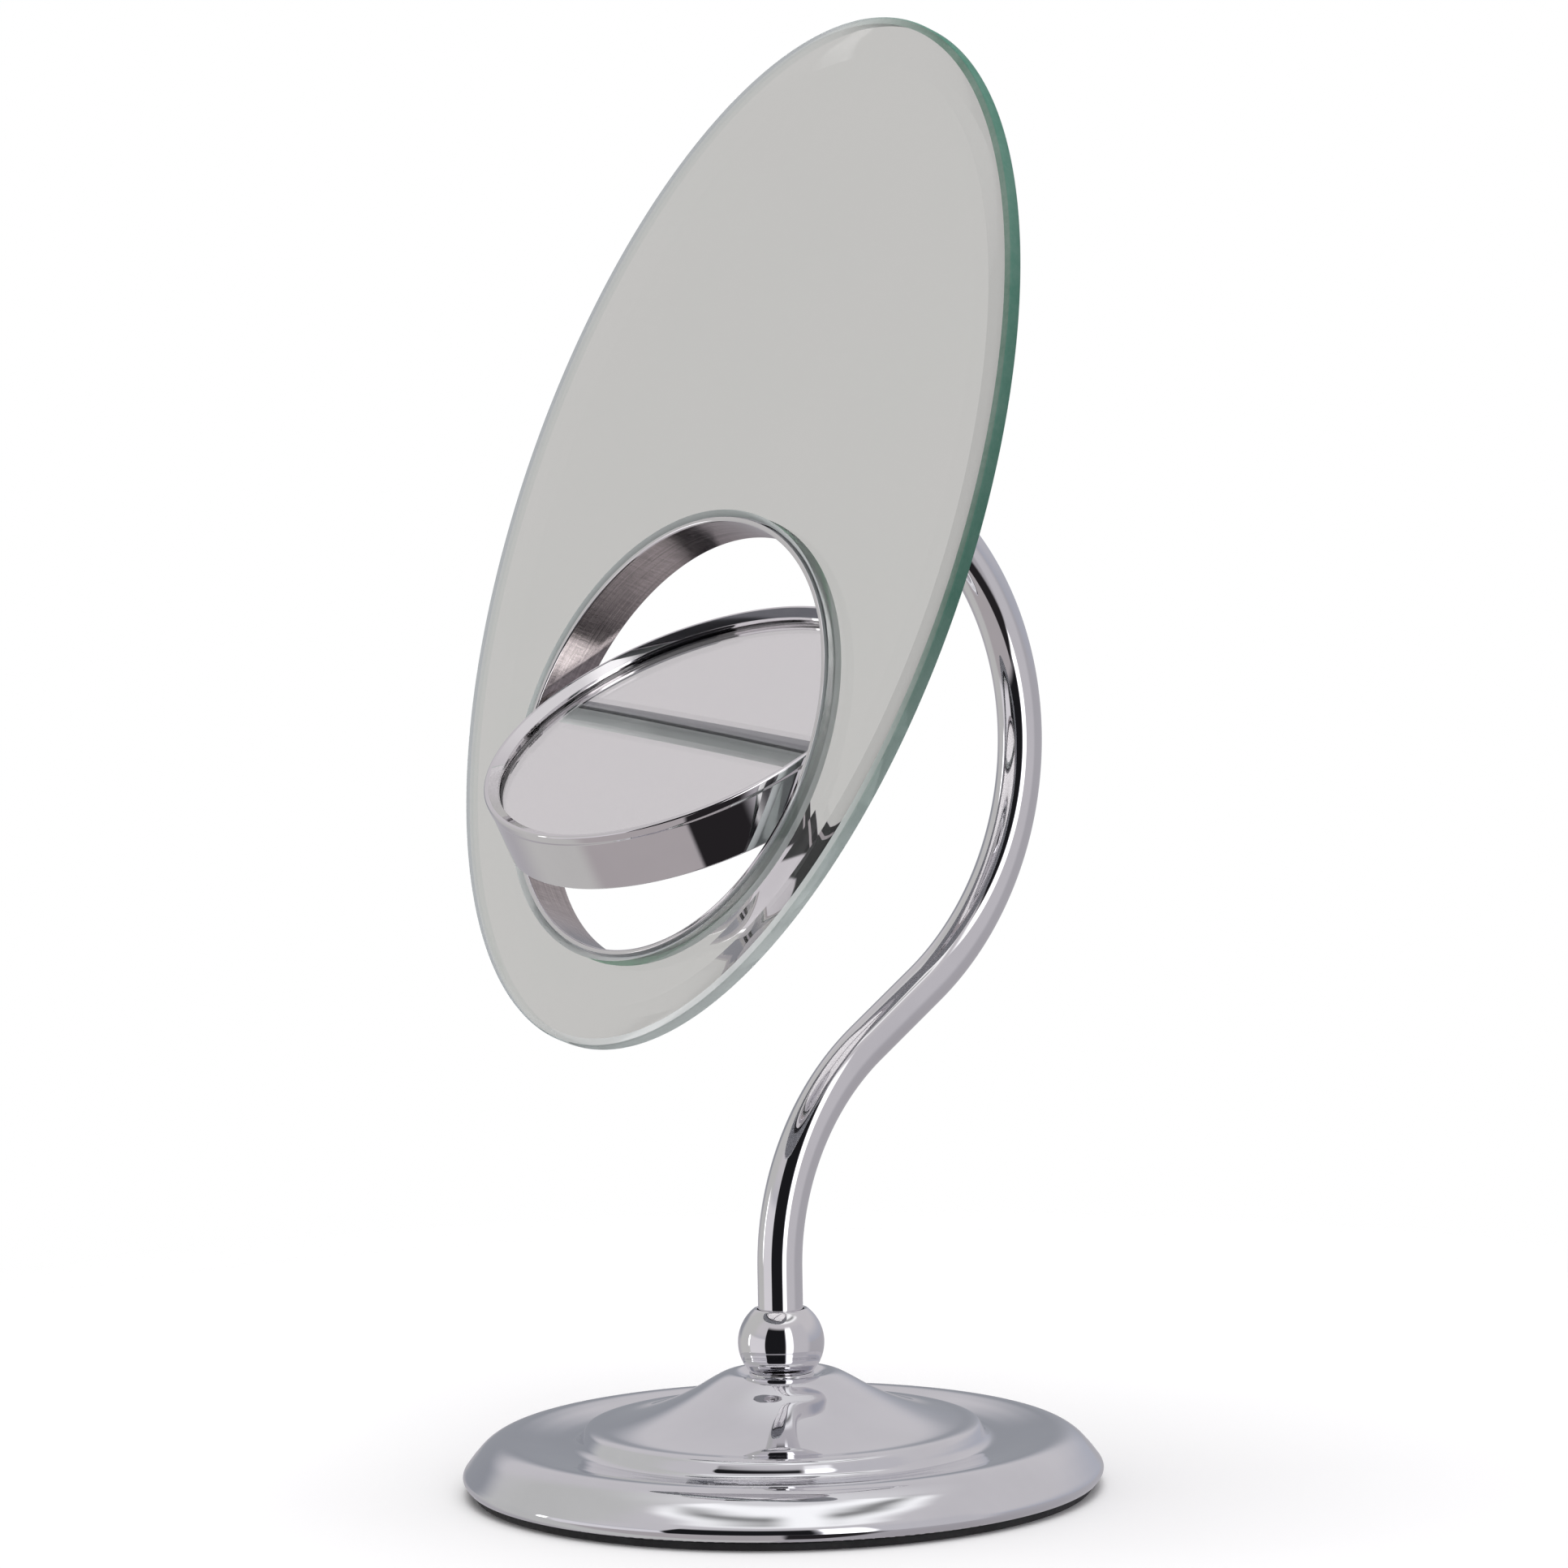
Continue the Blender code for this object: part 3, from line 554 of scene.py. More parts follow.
def base_pad():
    pad = [
        (0.0, 0.0),
        (PAD_RADIUS, 0.0, 0.5 * MM),
        (PAD_RADIUS, PAD, 0.4 * MM),
        (0.0, PAD),
    ]
    turned_solid(
        "base_pad_rubber", pad, PAD_SIDES, STILL, [RUBBER], "stand", "base_pad"
    )


def seat_ring():
    seat = [
        (STUD_HOLE, SEAT_LOW, 0.1 * MM),
        (SEAT_RADIUS, SEAT_LOW, 0.4 * MM),
        (SEAT_RADIUS, SEAT_HIGH, 0.4 * MM),
        (STUD_HOLE, SEAT_HIGH, 0.1 * MM),
    ]
    turned_ring(
        "seat_ring_turned", rounded(seat), COLLAR_SIDES, STILL, [CHROME], "stand",
        "seat_ring",
    )


# ---------------------------------------------------------------- stem

TUBE_RADIUS = 6.35 * MM
TUBE_WALL = 1.0 * MM
BALL_RADIUS = 12.2 * MM
BALL_HEIGHT = 41.6 * MM
BALL_FOOT = 33.6 * MM
BALL_SOCKET = 42.0 * MM
BALL_MOUTH = 7.6 * MM
LOWER_BEND_RADIUS = 73.0 * MM
LOWER_BEND_START = 62.5 * MM
UPPER_BEND_RADIUS = 83.0 * MM
UPPER_BEND_CENTRE = Vector((0.0, 8.4 * MM, 207.0 * MM))
TUBE_END_STRAIGHT = 14.0 * MM


def ball():
    """The ball at the stem's foot, with a softened mouth round the tube's socket."""
    socket = TUBE_RADIUS + GAP
    top = math.acos(BALL_MOUTH / BALL_RADIUS)
    foot = math.asin((BALL_FOOT - BALL_HEIGHT) / BALL_RADIUS)
    outline = [(STUD_HOLE, BALL_FOOT)]
    steps = 44
    for i in range(steps + 1):
        a = foot + (top - foot) * i / steps
        outline.append((BALL_RADIUS * math.cos(a), BALL_HEIGHT + BALL_RADIUS * math.sin(a)))
    rim = outline[-1][1]
    outline += [
        (BALL_MOUTH - 0.45 * MM, rim + 0.12 * MM),
        (socket + 0.15 * MM, rim + 0.02 * MM),
        (socket, rim - 0.2 * MM),
        (socket, BALL_SOCKET),
        (STUD_HOLE, BALL_SOCKET),
    ]
    turned_ring(
        "stem_ball_turned", outline, MIDDLE_SIDES, STILL, [CHROME], "stand",
        "stem_ball",
    )


def stem_line(end):
    """Points and directions along the middle of the bent tube."""
    lower = Vector((0.0, LOWER_BEND_RADIUS, LOWER_BEND_START))
    between = UPPER_BEND_CENTRE - lower
    lean = math.atan2(-between.y, between.z)
    slack = math.acos((LOWER_BEND_RADIUS + UPPER_BEND_RADIUS) / between.length)
    turn = math.pi / 2.0 - lean - slack
    line = []
    start = Vector((0.0, 0.0, BALL_SOCKET + GAP))
    bend = Vector((0.0, 0.0, LOWER_BEND_START))
    steps = 6
    for i in range(steps):
        line.append((start.lerp(bend, i / steps), Vector((0.0, 0.0, 1.0))))
    steps = 48
    for i in range(steps + 1):
        a = turn * i / steps
        point = lower + LOWER_BEND_RADIUS * Vector((0.0, -math.cos(a), math.sin(a)))
        line.append((point, Vector((0.0, math.sin(a), math.cos(a)))))
    last = TILT - math.pi / 2.0
    steps = 110
    for i in range(steps + 1):
        a = turn + (last - turn) * i / steps
        way = Vector((0.0, math.cos(a), -math.sin(a)))
        point = UPPER_BEND_CENTRE + UPPER_BEND_RADIUS * way
        line.append((point, Vector((0.0, math.sin(a), math.cos(a)))))
    line.append((end, (end - line[-1][0]).normalized()))
    return line


UV_STRIP = 0.6 * MM  # the width of one side of the tube in its UV map


def sweep(name, line, outer, inner, sides):
    """A hollow tube along a line in the plane X = 0, with exact normals and a UV map."""
    verts, shades, faces, coords = [], [], [], []
    across = Vector((1.0, 0.0, 0.0))
    runs = [0.0]
    for (p, _), (q, _) in zip(line, line[1:]):
        runs.append(runs[-1] + (q - p).length)
    for radius, sign in ((outer, 1.0), (inner, -1.0)):
        for point, way in line:
            up = way.cross(across).normalized()
            for k in range(sides):
                a = 2.0 * math.pi * k / sides
                out = across * math.cos(a) + up * math.sin(a)
                verts.append(point + out * radius)
                shades.append(out * sign)
    rings = len(line)
    for shell in (0, 1):
        first = shell * rings * sides
        for i in range(rings - 1):
            for k in range(sides):
                m = (k + 1) % sides
                low, high = first + i * sides, first + (i + 1) * sides
                quad = (low + k, low + m, high + m, high + k)
                faces.append(quad if shell == 0 else (quad[0], quad[3], quad[2], quad[1]))
                u0, u1 = k * UV_STRIP, (k + 1) * UV_STRIP
                patch = ((u0, runs[i]), (u1, runs[i]), (u1, runs[i + 1]), (u0, runs[i + 1]))
                coords.append(patch if shell == 0 else (patch[0], patch[3], patch[2], patch[1]))
    for i in (0, rings - 1):
        outside, inside = i * sides, (rings + i) * sides
        for k in range(sides):
            m = (k + 1) % sides
            a, b, c, d = outside + k, outside + m, inside + m, inside + k
            faces.append((b, a, d, c) if i == 0 else (a, b, c, d))
            coords.append(((0.0, 0.0), (MM, 0.0), (MM, MM), (0.0, MM)))
    return smooth_mesh(name, verts, faces, coords, shades)


BEND_TOP = UPPER_BEND_CENTRE + UPPER_BEND_RADIUS * Vector((0.0, math.sin(TILT), math.cos(TILT)))
TUBE_END_DEPTH = (FACE.inverted() @ BEND_TOP).y - TUBE_END_STRAIGHT
TUBE_END = FACE @ Vector((0.0, TUBE_END_DEPTH, HINGE_HEIGHT))


def stem():
    bore = TUBE_RADIUS - TUBE_WALL
    mesh = sweep("stem_tube_bent", stem_line(TUBE_END), TUBE_RADIUS, bore, TUBE_SIDES)
    finish_piece("stem_tube_bent", mesh, [CHROME], "stand", "stem_tube")


# ---------------------------------------------------------------- oval mirror

OVAL = (102.0 * MM, 151.0 * MM)
GLASS = 5.0 * MM
BEVEL_WIDTH = 13.0 * MM
BEVEL_DROP = 1.3 * MM
ARRIS = 0.4 * MM
HOLE_RADIUS = 64.0 * MM
HOLE_CHAMFER = 1.5 * MM
FILM = 0.5 * MM
FILM_INSET = 1.2 * MM
LAYER_DEPTH = GLASS + FILM + 2.0 * GAP
ROUND_STEPS = 360


def oval(inset, depth):
    """The glass's outline, drawn in by inset."""
    loop = []
    for i in range(ROUND_STEPS):
        a = 2.0 * math.pi * i / ROUND_STEPS
        c, s = math.cos(a), math.sin(a)
        out = Vector((OVAL[1] * c, OVAL[0] * s)).normalized()
        loop.append(Vector((OVAL[0] * c - out.x * inset, depth, OVAL[1] * s - out.y * inset)))
    return loop


def hole_loop(radius, depth):
    """A circle round the hole whose points lie on lines to the oval's points."""
    centre = Vector((0.0, 0.0, -HOLE_DROP))
    loop = []
    for point in oval(BEVEL_WIDTH, 0.0):
        way = (point - centre).normalized()
        loop.append(centre + way * radius + Vector((0.0, depth, 0.0)))
    return loop


SHARP, SOFT = True, False


def loft(name, layers):
    """Closed body through loops, each joined to the next and the last to the first.

    A layer is a loop, the material slot of the faces between it and the next loop, and whether
    the loop is a sharp edge.
    """
    bm = bmesh.new()
    rows = [[bm.verts.new(FACE @ p) for p in loop] for loop, _, _ in layers]
    for i, (_, slot, _) in enumerate(layers):
        low, high = rows[i], rows[(i + 1) % len(rows)]
        for k in range(ROUND_STEPS):
            m = (k + 1) % ROUND_STEPS
            face = bm.faces.new((low[k], low[m], high[m], high[k]))
            face.material_index = slot
            face.smooth = True
    bmesh.ops.recalc_face_normals(bm, faces=bm.faces)
    for row, (_, _, sharp) in zip(rows, layers):
        if not sharp:
            continue
        for k in range(ROUND_STEPS):
            bm.edges.get((row[k], row[(k + 1) % ROUND_STEPS])).smooth = False
    mesh = bpy.data.meshes.new(name)
    bm.to_mesh(mesh)
    bm.free()
    return mesh


def mirror_glass():
    """The bevelled glass, from the back of the hole over the face and the rim to the silvering."""
    clear, edge, ground, silver, rim = range(5)
    soft = 0.12 * MM
    layers = [
        (hole_loop(HOLE_RADIUS, GLASS), ground, SHARP),
        (hole_loop(HOLE_RADIUS, HOLE_CHAMFER + 0.15 * MM), ground, SHARP),
        (hole_loop(HOLE_RADIUS + soft, HOLE_CHAMFER - soft), ground, SOFT),
        (hole_loop(HOLE_RADIUS + HOLE_CHAMFER - 0.2 * MM, 0.2 * MM), ground, SOFT),
        (hole_loop(HOLE_RADIUS + HOLE_CHAMFER + 0.05 * MM, 0.0), clear, SHARP),
        (oval(BEVEL_WIDTH, 0.0), clear, SHARP),
        (oval(8.0 * MM, 0.40 * MM), clear, SOFT),
        (oval(4.6 * MM, 0.68 * MM), clear, SOFT),
        (oval(3.4 * MM, 0.80 * MM), clear, SOFT),
        # The bevel's outer band, which carries the painted reflection of the green edge.
        (oval(2.2 * MM, 0.96 * MM), rim, SOFT),
        (oval(1.2 * MM, 1.13 * MM), rim, SOFT),
        (oval(ARRIS, BEVEL_DROP), edge, SHARP),
        (oval(soft, BEVEL_DROP + soft), edge, SOFT),
        (oval(0.0, BEVEL_DROP + ARRIS), edge, SOFT),
        (oval(0.0, GLASS - ARRIS), edge, SOFT),
        (oval(soft, GLASS - soft), edge, SOFT),
        (oval(ARRIS, GLASS), silver, SHARP),
    ]
    mats = [CLEAR, EDGE, GROUND, SILVER, RIM_PAINTED_REFLECTION]
    mesh = loft("mirror_glass_bevelled", layers)
    finish_piece(
        "mirror_glass_bevelled", mesh, mats, "oval_mirror", "mirror_glass"
    )


def mirror_film():
    """The painted film glued behind the silvering."""
    near, far = GLASS + GAP, GLASS + GAP + FILM
    opening = HOLE_RADIUS + 0.5 * MM
    soft = 0.15 * MM
    layers = [
        (hole_loop(opening, far), 0, SHARP),
        (hole_loop(opening, near), 0, SHARP),
        (oval(FILM_INSET, near), 0, SHARP),
        (oval(FILM_INSET, far - soft), 0, SOFT),
        (oval(FILM_INSET + soft, far), 0, SOFT),
    ]
    mesh = loft("mirror_film", layers)
    finish_piece(
        "mirror_film", mesh, [PAINT], "oval_mirror", "mirror_backing"
    )


def hole_ring():
    """The ring through the hole, brushed on its inner face, with a flange behind the glass."""
    inner, outer, flange = 62.2 * MM, 63.6 * MM, 69.0 * MM
    front, back = -0.2 * MM, -14.6 * MM
    flange_front = -LAYER_DEPTH
    flange_back = flange_front - 1.2 * MM
    corners = [
        (inner, front, 0.55 * MM),
        (inner, back, 0.3 * MM),
        (outer, back, 0.3 * MM),
        (outer, flange_back, 0.5 * MM),
        (flange, flange_back, 0.35 * MM),
        (flange, flange_front, 0.2 * MM),
        (outer, flange_front),
        (outer, front, 0.25 * MM),
    ]
    outline = rounded(corners, True, CAP_STEPS)
    near_inner = [abs(point.x - inner) < 0.02 * MM for point in outline]
    after = near_inner[1:] + near_inner[:1]
    bore = {i for i, pair in enumerate(zip(near_inner, after)) if all(pair)}
    ring = turned_ring(
        "hole_ring_turned", outline, RING_SIDES, HOLE @ FORWARD, [CHROME_BAND, BRUSHED_PAINTED_SHADE],
        "oval_mirror", "hole_ring", bore,
    )
    # Not mirrored and not seen through glass, so that the round mirror shows a plainer face.
    ring.visible_glossy = False
    ring.visible_transmission = False


# ---------------------------------------------------------------- round insert

BAND_RADIUS = 59.3 * MM
BAND_HALF_WIDTH = 8.65 * MM
DISC_RADIUS = 57.5 * MM
DISC_FACE = 5.9 * MM


def insert_band():
    """The band round the insert: a raised bead along its upper edge, and a lip over each glass."""
    wall = BAND_RADIUS - 1.4 * MM
    lip, lip_height = 55.4 * MM, 6.2 * MM
    upper = [
        (BAND_RADIUS - 0.3 * MM, BAND_HALF_WIDTH - 2.9 * MM, 0.8 * MM),
        (BAND_RADIUS, BAND_HALF_WIDTH - 2.2 * MM, 0.8 * MM),
        (BAND_RADIUS, BAND_HALF_WIDTH, 0.7 * MM),
        (BAND_RADIUS - 1.3 * MM, BAND_HALF_WIDTH, 0.6 * MM),
        (lip, lip_height + 0.75 * MM, 0.25 * MM),
        (lip, lip_height, 0.1 * MM),
        (wall, lip_height, 0.3 * MM),
    ]
    lower = [(r, -z, f) for r, z, f in reversed(upper[3:])]
    lower.append((BAND_RADIUS - 0.3 * MM, -BAND_HALF_WIDTH, 1.1 * MM))
    turned_ring(
        "insert_band_rolled", rounded(upper + lower), RING_SIDES, INSERT @ FORWARD, [CHROME_BAND],
        "round_mirror", "insert_band",
    )


def disc_glass(name, front, back, sag, node):
    """A round glass with silvering on the side at back. Heights are along the insert's axis."""
    seam = 0.15 * MM
    steps = 24
    low, high = min(front, back), max(front, back)
    reach = DISC_RADIUS - seam

    def row(level):
        return [
            (reach * k / steps, level + sag * (1.0 - (k / steps) ** 2)) for k in range(steps + 1)
        ]

    # The corner is doubled, so that the flat side keeps its own normals.
    corner = reach + 0.0001 * MM
    wall = [(DISC_RADIUS, low + seam), (DISC_RADIUS, high - seam)]
    outline = [*row(low), (corner, low), *wall, (corner, high), *row(high)[::-1]]
    last = len(outline) - 1
    silver = range(steps) if back < front else range(last - steps, last)
    mesh = lathe(name, outline, WIDE_SIDES, INSERT @ FORWARD, False, silver)
    finish_piece(name, mesh, [CLEAR, SILVER], "round_mirror", node)


def insert_glasses():
    plain, magnifying, sag = 2.9 * MM, 1.8 * MM, 1.6 * MM
    disc_glass("insert_glass_flat", DISC_FACE, DISC_FACE - plain, 0.0, "insert_glass_plain")
    disc_glass(
        "insert_glass_curved", -DISC_FACE, -DISC_FACE + magnifying, sag, "insert_glass_magnifying"
    )


def insert_pivots():
    """The pins the insert turns on, and their bushes. Heights are from the insert's middle."""
    pin_radius, head_radius = 1.5 * MM, 2.8 * MM
    pin_end, head_near = 53.0 * MM, 63.9 * MM
    head_far = head_near + 1.6 * MM
    pin = [
        (0.0, pin_end),
        (pin_radius, pin_end, 0.2 * MM),
        (pin_radius, head_near),
        (head_radius, head_near, 0.15 * MM),
        (head_radius - 0.2 * MM, head_far, 0.7 * MM),
        (0.0, head_far),
    ]
    bush_bore, bush_radius = pin_radius + GAP, 3.4 * MM
    bush_near, bush_far = 59.6 * MM, 61.78 * MM
    bush = [
        (bush_bore, bush_near, 0.1 * MM),
        (bush_radius, bush_near, 0.3 * MM),
        (bush_radius, bush_far, 0.3 * MM),
        (bush_bore, bush_far, 0.1 * MM),
    ]
    for tag, side in (("left", -1.0), ("right", 1.0)):
        outwards = INSERT @ Matrix.Rotation(side * math.pi / 2.0, 4, "Y")
        turned_solid(
            "pivot_screw_" + tag, pin, PIN_SIDES, outwards, [STEEL], "round_mirror",
            "pivot_pin_" + tag,
        )
        turned_ring(
            "pivot_bushing_" + tag, rounded(bush), PIN_SIDES, outwards, [NYLON], "oval_mirror",
            "pivot_bush_" + tag,
        )


# ---------------------------------------------------------------- tilt hinge

TONGUE = 5.0 * MM
TONGUE_HALF_HEIGHT = 5.5 * MM
WASHER = 1.0 * MM
EAR_INNER = TONGUE / 2.0 + WASHER + 2.0 * GAP
EAR = 4.0 * MM
EAR_OUTER = EAR_INNER + EAR
EAR_HALF_HEIGHT = 6.5 * MM
BOLT_RADIUS = 2.5 * MM
BOLT_HOLE = BOLT_RADIUS + GAP
NUT_NEAR = EAR_OUTER + GAP
NUT_FAR = NUT_NEAR + 4.5 * MM
PLATE_RADIUS = 20.0 * MM
PLATE = 2.5 * MM
FOAM = 0.9 * MM
PLATE_BACK = LAYER_DEPTH + FOAM + GAP + PLATE
BOLT_LINE = HINGE @ SIDEWAYS


def lug(root, half_height, thickness, place):
    """A round-ended lug, its flats facing along X, from root to the hinge's axis and past it."""
    bm = bmesh.new()
    away = math.copysign(1.0, -root)
    outline = [(root, -half_height), (root, half_height)]
    steps = 28
    for i in range(steps + 1):
        a = math.pi / 2.0 - math.pi * i / steps
        outline.append((away * half_height * math.cos(a), half_height * math.sin(a)))
    face = bm.faces.new([bm.verts.new((-thickness / 2.0, y, z)) for y, z in outline])
    made = bmesh.ops.extrude_face_region(bm, geom=[face])
    moved = [v for v in made["geom"] if isinstance(v, bmesh.types.BMVert)]
    bmesh.ops.translate(bm, verts=moved, vec=(thickness, 0.0, 0.0))
    bmesh.ops.recalc_face_normals(bm, faces=bm.faces)
    bmesh.ops.transform(bm, matrix=place, verts=bm.verts)
    mesh = bpy.data.meshes.new("lug")
    bm.to_mesh(mesh)
    bm.free()
    return mesh


def disc(radius, low, high, sides, place):
    """A plain cylinder from low to high."""
    outline = [(0.0, low), (radius, low), (radius, high), (0.0, high)]
    return lathe("disc", outline, sides, place, False)


def bolt_hole(low, high):
    """A cutter for a clearance hole along the hinge bolt."""
    return disc(BOLT_HOLE, low, high, PIN_SIDES, BOLT_LINE)


def hexagon(across_flats, low, high, place):
    bm = bmesh.new()
    corner = across_flats / 2.0 / math.cos(math.pi / 6.0)
    bmesh.ops.create_cone(
        bm, cap_ends=True, segments=6, radius1=corner, radius2=corner, depth=high - low
    )
    bmesh.ops.translate(bm, verts=bm.verts, vec=(0.0, 0.0, (low + high) / 2.0))
    bmesh.ops.transform(bm, matrix=place, verts=bm.verts)
    mesh = bpy.data.meshes.new("hexagon")
    bm.to_mesh(mesh)
    bm.free()
    return mesh


def carved(name, start, steps, bevel, mats, body, node):
    """A piece joined to and cut by other meshes, its corners then rounded."""
    holder = bpy.data.objects.new(name + "_draft", start)
    scene = bpy.context.scene.collection
    scene.objects.link(holder)
    tools = []
    for operation, mesh in steps:
        tool = bpy.data.objects.new(name + "_tool", mesh)
        scene.objects.link(tool)
        tools.append(tool)
        modifier = holder.modifiers.new("cut", "BOOLEAN")
        modifier.operation = operation
        modifier.solver = "EXACT"
        modifier.object = tool
    soft = holder.modifiers.new("soft", "BEVEL")
    soft.width = bevel
    soft.segments = 3
    soft.limit_method = "ANGLE"
    soft.angle_limit = math.radians(35.0)
    soft.use_clamp_overlap = True
    soft.harden_normals = True
    bpy.context.view_layer.update()
    shaped = holder.evaluated_get(bpy.context.evaluated_depsgraph_get())
    mesh = bpy.data.meshes.new_from_object(shaped)
    mesh.name = name
    mesh.materials.clear()
    mesh.polygons.foreach_set("material_index", [0] * len(mesh.polygons))
    mesh.polygons.foreach_set("use_smooth", [True] * len(mesh.polygons))
    for tool in [*tools, holder]:
        bpy.data.objects.remove(tool, do_unlink=True)
    finish_piece(name, mesh, mats, body, node)


def stem_head():
    """The fitting in the tube's upper end, with the tongue that the bracket's ears straddle."""
    along_tube = Matrix.Translation(TUBE_END) @ Matrix.Rotation(math.pi / 2.0 - TILT, 4, "X")
    spigot = TUBE_RADIUS - TUBE_WALL - 2.0 * GAP
    spigot_end, collar = -11.0 * MM, 2.0 * MM
    head = [
        (0.0, spigot_end),
        (spigot, spigot_end),
        (spigot, GAP),
        (TUBE_RADIUS, GAP),
        (TUBE_RADIUS, GAP + collar),
        (0.0, GAP + collar),
    ]
    root = TUBE_END_DEPTH - HINGE_DEPTH - GAP - collar / 2.0
    steps = [
        ("UNION", lug(root, TONGUE_HALF_HEIGHT, TONGUE, HINGE)),
        ("DIFFERENCE", bolt_hole(-TONGUE, TONGUE)),
    ]
    start = lathe("head", head, TUBE_SIDES, along_tube, False)
    carved("stem_head_milled", start, steps, 0.3 * MM, [CHROME], "stand", "stem_head")


def hinge_bracket():
    """The round plate behind the glass, its two ears, and the foam tape that holds it."""
    low = HINGE_DEPTH - PLATE_BACK
    high = low + PLATE
    root = -low - MM  # a millimetre inside the plate
    steps = []
    for side in (-1.0, 1.0):
        middle = Matrix.Translation((side * (EAR_INNER + EAR_OUTER) / 2.0, 0.0, 0.0))
        steps.append(("UNION", lug(root, EAR_HALF_HEIGHT, EAR, HINGE @ middle)))
    reach = 2.0 * EAR_OUTER
    steps.append(("DIFFERENCE", bolt_hole(-reach, reach)))
    plate = disc(PLATE_RADIUS, low, high, MIDDLE_SIDES, HINGE @ FORWARD)
    carved(
        "hinge_bracket_cast", plate, steps, 0.5 * MM, [CHROME], "oval_mirror",
        "hinge_bracket",
    )
    edge = PLATE_RADIUS - 0.8 * MM
    near, far = high + GAP, high + GAP + FOAM
    pad = [(0.0, near), (edge, near, 0.15 * MM), (edge, far, 0.15 * MM), (0.0, far)]
    turned_solid(
        "hinge_tape", pad, MIDDLE_SIDES, HINGE @ FORWARD, [TAPE], "oval_mirror",
        "hinge_pad",
    )


def hinge_washers():
    near = TONGUE / 2.0 + GAP
    for tag, low in (("left", -near - WASHER), ("right", near)):
        high = low + WASHER
        ring = [
            (BOLT_HOLE, low, 0.1 * MM),
            (TONGUE_HALF_HEIGHT, low, 0.2 * MM),
            (TONGUE_HALF_HEIGHT, high, 0.2 * MM),
            (BOLT_HOLE, high, 0.1 * MM),
        ]
        turned_ring(
            "hinge_shim_" + tag, rounded(ring), BOLT_SIDES, BOLT_LINE, [NYLON], "stand",
            "hinge_washer_" + tag,
        )


def hinge_bolt():
    """A domed bolt with a round socket in its head."""
    dome, socket, socket_radius = 3.2 * MM, 1.6 * MM, 1.7 * MM
    foot, top, end = -NUT_NEAR, -NUT_NEAR - dome, NUT_FAR + MM
    bolt = [
        (0.0, top + socket),
        (socket_radius, top + socket),
        (socket_radius, top, 0.2 * MM),
        (3.0 * MM, top, 1.2 * MM),
        (4.75 * MM, foot - 0.5 * dome, 1.2 * MM),
        (4.9 * MM, foot, 0.2 * MM),
        (BOLT_RADIUS, foot),
        (BOLT_RADIUS, end, 0.4 * MM),
        (0.0, end),
    ]
    turned_solid(
        "hinge_screw", bolt, BOLT_SIDES, BOLT_LINE, [STEEL], "oval_mirror",
        "hinge_bolt",
    )


def hinge_nut():
    """A hexagon nut with its outer corners turned off by a cone."""
    across_flats = 8.0 * MM
    cone = [
        (0.0, NUT_NEAR - MM),
        (across_flats, NUT_NEAR - MM),
        (across_flats, NUT_FAR - 2.2 * MM),
        (across_flats / 2.0, NUT_FAR + 0.1 * MM),
        (0.0, NUT_FAR + 0.1 * MM),
    ]
    steps = [
        ("INTERSECT", lathe("cone", cone, COLLAR_SIDES, BOLT_LINE, False)),
        ("DIFFERENCE", bolt_hole(NUT_NEAR - MM, NUT_FAR + MM)),
    ]
    start = hexagon(across_flats, NUT_NEAR, NUT_FAR, BOLT_LINE)
    carved(
        "hinge_hexnut", start, steps, 0.12 * MM, [STEEL], "oval_mirror", "hinge_nut"
    )


# ---------------------------------------------------------------- build

base_shell()
base_pad()
seat_ring()
ball()
stem()
mirror_glass()
mirror_film()
hole_ring()
insert_band()
insert_glasses()
insert_pivots()
stem_head()
hinge_bracket()
hinge_washers()
hinge_bolt()
hinge_nut()

HIDDEN_LOOKS = {  # pieces that keep their CAD shape
    "base_weight": IRON,
    "base_spacer": STEEL,
    "stud_washer": STEEL,
    "stud_nut": STEEL,
    "stem_stud": STEEL,
    "stem_foot_plug": STEEL,
    "insert_core": PLASTIC,
}
for node, look in HIDDEN_LOOKS.items():
    mesh = frame["nodes"][node].data
    mesh.materials.clear()
    mesh.materials.append(look)

# ---------------------------------------------------------------- floor, light and camera

CAMERA_AZIMUTH = math.radians(51.55)
CAMERA_ELEVATION = math.radians(5.77)
CAMERA_ROLL = math.radians(-0.99)
CAMERA_DISTANCE = 2.0
CAMERA_AIM = Vector((0.0034, 0.0018, 0.1998))
CAMERA_LENS = 164.2
SENSOR = 36.0
FLOOR_HALF = 0.6
FLOOR_BEHIND = -0.10  # along the camera's line, away from the camera
FLOOR_FADE = (0.24, 0.40)
LAMP_SIZE = 1.6
LAMP_HEIGHT = 1.6
LAMP_POWER = 18.0


def towards(azimuth, elevation):
    """A direction: azimuth 0 is in front of the mirror and 90 degrees to its right."""
    flat = math.cos(elevation)
    return Vector((math.sin(azimuth) * flat, -math.cos(azimuth) * flat, math.sin(elevation)))


def camera():
    back = towards(CAMERA_AZIMUTH, CAMERA_ELEVATION)
    right = Vector((math.cos(CAMERA_AZIMUTH), math.sin(CAMERA_AZIMUTH), 0.0))
    up = back.cross(right)
    c, s = math.cos(CAMERA_ROLL), math.sin(CAMERA_ROLL)
    across, above = right * c + up * s, up * c - right * s
    data = bpy.data.cameras.new("camera")
    data.sensor_width = SENSOR
    data.lens = CAMERA_LENS
    data.clip_end = 50.0
    obj = bpy.data.objects.new("camera", data)
    bpy.context.scene.collection.objects.link(obj)
    turn = Matrix((across, above, back)).transposed()
    obj.matrix_world = Matrix.Translation(CAMERA_AIM + back * CAMERA_DISTANCE) @ turn.to_4x4()
    bpy.context.scene.camera = obj


